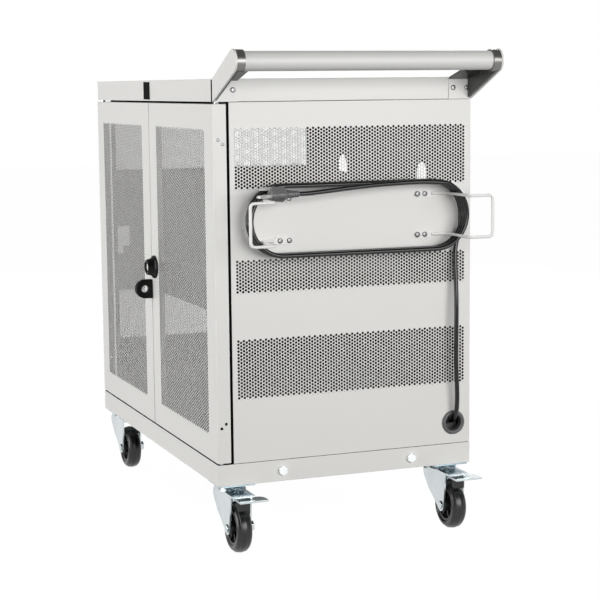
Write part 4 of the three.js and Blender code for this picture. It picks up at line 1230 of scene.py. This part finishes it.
class CART_OT_hinges(bpy.types.Operator):
    """Headed pins that the doors turn on"""

    bl_idname = "cart.hinges"
    bl_label = "Hinge pins"

    def execute(self, context):
        for side in ("left", "right"):
            for level in ("lower", "upper"):
                node = f"{side}_{level}_hinge_pin"
                dressed(node, f"{side}_{level}_pin", "Zinc plate", "cabinet", 0.0005, 2, 40.0)
        return {"FINISHED"}


class CART_OT_lock(bpy.types.Operator):
    """Lock knob with its cam, the padlock tabs and the bare plate on the lid"""

    bl_idname = "cart.lock"
    bl_label = "Lock"
    knob_profile = (
        (0, 42.0), (8.0, 42.0), (8.0, 14.9), (18.5, 14.9), (18.7, 14.0), (18.5, 12.0), (17.6, 11.2),
        (15.6, 10.2), (13.6, 6.0), (12.6, 1.6), (11.9, 0.4), (10.9, 0.0), (9.6, 0.2), (8.9, 1.0), (8.6, 2.6),
        (0, 3.0),
    )
    cylinder_profile = ((0, 2.4), (5.8, 2.4), (6.2, 3.4), (6.2, 4.4), (0, 4.4))
    key_half_wide = 0.9
    key_half_tall = 4.6
    key_front = 2.2
    key_back = 3.6

    def execute(self, context):
        low, high = node_span("lock_knob")
        x = (low.x + high.x) / 2
        z = (low.z + high.z) / 2
        face = at(x, low.y, z)
        bm = bmesh.new()
        add_spun(bm, self.knob_profile, face, (0, 1, 0), 64)
        moulded(bm, "lock_knob_turned", "Black enamel", "lock", ("lock_knob",))
        bm = bmesh.new()
        near = (x - self.key_half_wide, low.y + self.key_front, z - self.key_half_tall)
        far = (x + self.key_half_wide, low.y + self.key_back, z + self.key_half_tall)
        add_box(bm, near, far)
        add_spun(bm, self.cylinder_profile, face, (0, 1, 0), 40)
        moulded(bm, "lock_cylinder", "Nickel plate", "lock", width=0.0002)
        dressed("lock_cam", "lock_cam_plate", "Zinc plate", "lock", 0.0004, 2)
        for word in ("left", "right"):
            node = f"{word}_padlock_tab"
            dressed(node, f"{word}_tab", "Black enamel", f"{word}_door", 0.0008, 3)
        dressed("badge_plate", "bare_plate", "Bare label", "cabinet", 0.0004, 2)
        return {"FINISHED"}


class CART_OT_handle(bpy.types.Operator):
    """Push handle: tube, dark end mouldings and painted brackets"""

    bl_idname = "cart.handle"
    bl_label = "Push handle"
    tube_parts = 12
    edge = 0.5

    def execute(self, context):
        low, high = node_span("handle_tube")
        radius = (high.z - low.z) / 2
        centre = at((low.x + high.x) / 2, low.y, (low.z + high.z) / 2)
        length = high.y - low.y
        profile = [(0, 0), (radius - self.edge, 0), (radius, self.edge)]
        profile += [(radius, length * i / self.tube_parts) for i in range(1, self.tube_parts)]
        profile += [(radius, length - self.edge), (radius - self.edge, length), (0, length)]
        bm = bmesh.new()
        add_spun(bm, profile, centre, (0, 1, 0), 72)
        moulded(bm, "grip_tube", "Handle paint", "cabinet", ("handle_tube",), 40.0)
        for word in ("front", "rear"):
            bracket = f"handle_bracket_{word}"
            dressed(bracket, f"{bracket}_plate", "Paint with painted inner shade", "cabinet", 0.0009, 3)
            end = f"handle_end_{word}"
            dressed(end, f"{end}_moulding", "Charcoal moulding", "cabinet", 0.0009, 3)
        return {"FINISHED"}


class CART_OT_hooks(bpy.types.Operator):
    """Bent wire hooks with flattened ends"""

    bl_idname = "cart.hooks"
    bl_label = "Cord hooks"
    wire = HOOK_WIRE
    spread = 154.0
    leg = 26.0
    reach = 80.0
    arm = 38.0
    tall = 62.0
    bend = 7.0
    tab_length = 26.0
    tab_tall = 11.0
    tab_sheet = 2.0
    tab_overlap = 6.0
    tab_neck = 3.0
    tip_steps = 8

    def execute(self, context):
        for side, word in ((-1, "front"), (1, "rear")):
            self.hook(side, word)
        return {"FINISHED"}

    def hook(self, side, word):
        face = HALF_LENGTH + SEAM
        wire_x = face + self.wire
        out_x = HALF_LENGTH + self.reach
        post = WINDING_Y + side * self.spread
        leg = post - side * self.leg
        arm = post + side * self.arm
        top = WINDING_Z + self.tall / 2
        bottom = WINDING_Z - self.tall / 2
        corners = [
            (wire_x, leg, top), (wire_x, post, top), (out_x, post, top), (out_x, arm, top),
            (out_x, arm, bottom), (out_x, post, bottom), (wire_x, post, bottom), (wire_x, leg, bottom),
        ]
        path = rounded_path([at(*corner) for corner in corners], self.bend * MM)
        bm = bmesh.new()
        add_rings(bm, tube_rings(path, self.wire * MM, 16))
        for z in (top, bottom):
            self.tab(bm, face, leg, side, z)
        nodes = (f"cord_hook_{word}",)
        moulded(bm, f"wire_hook_{word}", "Wire paint with painted light", "cabinet", nodes, 32.0, 0.0004)

    def tab(self, bm, face, leg, side, z):
        """The wire's end, pressed flat and rounded at its tip."""
        end = leg - side * self.tab_length
        start = leg + side * self.tab_overlap
        neck = leg - side * self.tab_neck
        half = self.tab_tall / 2
        narrow = self.wire * 0.7
        outline = [(start, z - narrow), (start, z + narrow), (neck, z + half)]
        for i in range(self.tip_steps + 1):
            angle = math.pi * i / self.tip_steps
            outline.append((end + side * half * (1 - math.sin(angle)), z + half * math.cos(angle)))
        outline.append((neck, z - half))
        add_rings(bm, [[at(x, u, v) for u, v in outline] for x in (face, face + self.tab_sheet)])


class CART_OT_grommet(bpy.types.Operator):
    """Grey grommet that the lead passes through"""

    bl_idname = "cart.grommet"
    bl_label = "Grommet"
    profile = (
        (12.5, -7.0), (15.0, -7.0), (15.0, -2.4), (15.0, 0.3), (18.6, 0.3), (19.0, 0.8), (18.8, 1.7),
        (17.9, 2.8), (16.3, 3.4), (14.7, 3.3), (13.4, 2.6), (12.7, 1.6), (12.5, 0.4),
    )

    def execute(self, context):
        bm = bmesh.new()
        add_spun(bm, self.profile, at(HALF_LENGTH, GROMMET_Y, GROMMET_Z), (1, 0, 0), 56, closed=True)
        nodes = ("cable_grommet",)
        moulded(bm, "grommet_bush", "Grommet rubber", "cabinet", nodes, 35.0)
        return {"FINISHED"}


class CART_OT_casters(bpy.types.Operator):
    """Four swivel casters, two of them with a brake pedal"""

    bl_idname = "cart.casters"
    bl_label = "Casters"
    wing_cuts = (-19.0, -26.0, -33.0, -40.0, -47.0, -53.0)
    wing_top = 48.0
    wing_inside = 14.9
    wing_flare = 2.4
    wing_length = 38.0
    shoe_outline = (
        (29.3, 82.7), (15.8, 82.7), (15.8, 73.85), (19.0, 73.0), (23.0, 71.4), (26.5, 69.9), (29.3, 68.7),
    )
    shoe_half = 9.3
    tyre_crown = 37.5
    tyre_half = (
        (26.0, 10.2), (28.0, 11.4), (29.8, 11.95), (31.5, 11.6), (33.0, 10.7), (34.2, 9.5), (35.2, 8.1),
        (35.7, 7.0), (36.4, 6.6), (36.6, 6.0), (36.3, 5.4), (36.8, 3.6), (37.3, 1.6),
    )
    hub_half = (
        (5.35, 14.0), (9.4, 14.0), (10.0, 13.4), (10.4, 4.6), (11.6, 4.0), (20.6, 4.0), (21.6, 4.8),
        (22.0, 9.6), (22.4, 10.0), (25.7, 10.0),
    )
    spokes = 6
    spoke_size = (12.6, 17.0, 2.0)
    spoke_middle = 15.8

    def execute(self, context):
        for word in CASTERS:
            low, high = node_span(f"tyre_{word}")
            wheel = at(*((low + high) / 2))
            self.tyre(word, wheel)
            self.hub(word, wheel)
            dressed(f"axle_{word}", f"axle_bolt_{word}", "Zinc plate", f"swivel_{word}", 0.0007, 3)
            self.fork(word, wheel)
            dressed(f"caster_plate_{word}", f"top_plate_{word}", "Blue zinc with painted shade", "cabinet", 0.0006, 2)
        for word in BRAKED:
            node = f"brake_pedal_{word}"
            dressed(node, f"pedal_{word}", "Zinc plate", f"brake_{word}", 0.0008, 3)
            low, high = node_span(f"tyre_{word}")
            self.shoe(word, (low + high) / 2)
        return {"FINISHED"}

    def fork(self, word, wheel):
        """A fork whose rear wings flare outwards."""
        bm = merged_copy(f"fork_{word}")
        cuts = [(Vector((ahead, 0, 0)), (1, 0, 0)) for ahead in self.wing_cuts]
        cuts.append((Vector((0, 0, self.wing_top)), (0, 0, 1)))
        for spot, facing in cuts:
            everything = bm.verts[:] + bm.edges[:] + bm.faces[:]
            bmesh.ops.bisect_plane(bm, geom=everything, plane_co=wheel + spot * MM, plane_no=facing)
        for vertex in bm.verts:
            ahead, across, rise = (vertex.co - wheel) / MM
            behind = self.wing_cuts[0] - ahead
            if behind > 0 and abs(across) > self.wing_inside and rise < self.wing_top + 0.1:
                flare = self.wing_flare * (behind / self.wing_length) ** 2
                vertex.co.y += math.copysign(flare, across) * MM
        name = f"fork_plate_{word}"
        mesh = mesh_from(bm, name, 32.0)
        fork = piece(name, mesh, "Zinc plate", f"swivel_{word}", (f"fork_{word}",))
        rounded(fork, 0.0009, 3)

    def shoe(self, word, middle):
        """The rubber block under the pedal, hollowed along the tyre."""
        sides = (middle.y - self.shoe_half, middle.y + self.shoe_half)
        bm = bmesh.new()
        add_rings(bm, [[at(middle.x + x, y, z) for x, z in self.shoe_outline] for y in sides])
        name = f"brake_shoe_{word}"
        moulded(bm, name, "Tyre rubber", f"brake_{word}", width=0.0008, segments=3)

    def tyre(self, word, wheel):
        profile = [(radius, -y) for radius, y in self.tyre_half]
        profile += [(self.tyre_crown, 0), *self.tyre_half[::-1]]
        bm = bmesh.new()
        add_spun(bm, profile, wheel, (0, 1, 0), 72, closed=True)
        nodes = (f"tyre_{word}",)
        moulded(bm, f"tread_{word}", "Tyre rubber", f"wheel_{word}", nodes, 35.0)

    def hub(self, word, wheel):
        profile = [(radius, -y) for radius, y in self.hub_half]
        profile += self.hub_half[::-1]
        bm = bmesh.new()
        add_spun(bm, profile, wheel, (0, 1, 0), 56, closed=True)
        shift = Matrix.Translation(Vector((self.spoke_middle, 0, 0)) * MM)
        size = Matrix.Diagonal((*(Vector(self.spoke_size) * MM), 1.0))
        for index in range(self.spokes):
            turn = Matrix.Translation(wheel) @ Matrix.Rotation(2 * math.pi * index / self.spokes, 4, "Y")
            bmesh.ops.create_cube(bm, size=1.0, matrix=turn @ shift @ size)
        nodes = (f"hub_{word}",)
        name = f"wheel_centre_{word}"
        moulded(bm, name, "Black moulding", f"wheel_{word}", nodes, width=0.0003)


class CART_OT_fasteners(bpy.types.Operator):
    """Screws and rivets of the panels, the brackets and the hooks"""

    bl_idname = "cart.fasteners"
    bl_label = "Fasteners"
    screw_seat = 2.9
    screw_form = (0.0016, 0.5)
    bracket_row = 584.0
    bracket_places = (-199.5, -176.5, 176.5, 199.5)
    hook_rows = (424.5, 362.5)
    hook_places = (117.0, 128.8, -106.5, -92.0)
    rivet_seat = 0.35
    rivet = (0.0024, 0.0007, 0.35)
    rivet_places = ((-199.5, 512.5), (-193.0, 506.0))

    def execute(self, context):
        spots = [(y, self.bracket_row) for y in self.bracket_places]
        spots += [(y, z) for y in self.hook_places for z in self.hook_rows]
        screw = (sizes().screw_head / 2, *self.screw_form)
        self.heads("panel_screws", 1, spots, self.screw_seat, screw, "cabinet")
        for side, word in ((-1, "left"), (1, "right")):
            name = f"{word}_flange_rivets"
            self.heads(name, side, self.rivet_places, self.rivet_seat, self.rivet, f"{word}_door")
        return {"FINISHED"}

    def heads(self, name, end, spots, seat, head, body):
        """Heads of one radius, height and drive at heights above the base, on one end of the cabinet."""
        facing = Vector((end, 0, 0))
        points = [(at(end * (HALF_LENGTH + seat), y, BASE + z), facing) for y, z in spots]
        radius, height, drive = head
        mesh = grown_mesh(name, shared_tree("Screw heads", screw_heads), {
            "Head Radius": radius,
            "Head Height": height,
            "Drive Share": drive,
            "Material": finish("Screw steel"),
        }, points)
        mesh.shade_smooth()
        mesh.set_sharp_from_angle(angle=math.radians(50))
        piece(name, mesh, "Screw steel", body)


class CART_PT_panel(bpy.types.Panel):
    """Lists the cart's pieces and sizes"""

    bl_idname = "CART_PT_panel"
    bl_label = "Charging cart"
    bl_space_type = "VIEW_3D"
    bl_region_type = "UI"
    bl_category = "Cart"

    def draw(self, context):
        layout = self.layout
        for group in (context.scene.cart_sizes, context.scene.cart_colours):
            box = layout.box()
            for key in group.__annotations__:
                box.prop(group, key)
        for operator in OPERATORS:
            layout.operator(operator.bl_idname)


OPERATORS = (
    CART_OT_stage,
    CART_OT_mains_lead,
    CART_OT_side_panels,
    CART_OT_doors,
    CART_OT_lid_and_base,
    CART_OT_inside,
    CART_OT_hinges,
    CART_OT_lock,
    CART_OT_handle,
    CART_OT_hooks,
    CART_OT_grommet,
    CART_OT_casters,
    CART_OT_fasteners,
)
CLASSES = (CartSizes, CartColours, *OPERATORS, CART_PT_panel)


def register():
    for cls in CLASSES:
        bpy.utils.register_class(cls)
    bpy.types.Scene.cart_sizes = PointerProperty(type=CartSizes)
    bpy.types.Scene.cart_colours = PointerProperty(type=CartColours)


def unregister():
    del bpy.types.Scene.cart_colours
    del bpy.types.Scene.cart_sizes
    for cls in reversed(CLASSES):
        bpy.utils.unregister_class(cls)


def main():
    register()
    bpy.ops.cart.stage()
    bpy.ops.cart.mains_lead()
    bpy.ops.cart.side_panels()
    bpy.ops.cart.doors()
    bpy.ops.cart.lid_and_base()
    bpy.ops.cart.inside()
    bpy.ops.cart.hinges()
    bpy.ops.cart.lock()
    bpy.ops.cart.handle()
    bpy.ops.cart.hooks()
    bpy.ops.cart.grommet()
    bpy.ops.cart.casters()
    bpy.ops.cart.fasteners()


if __name__ == "__main__":
    main()
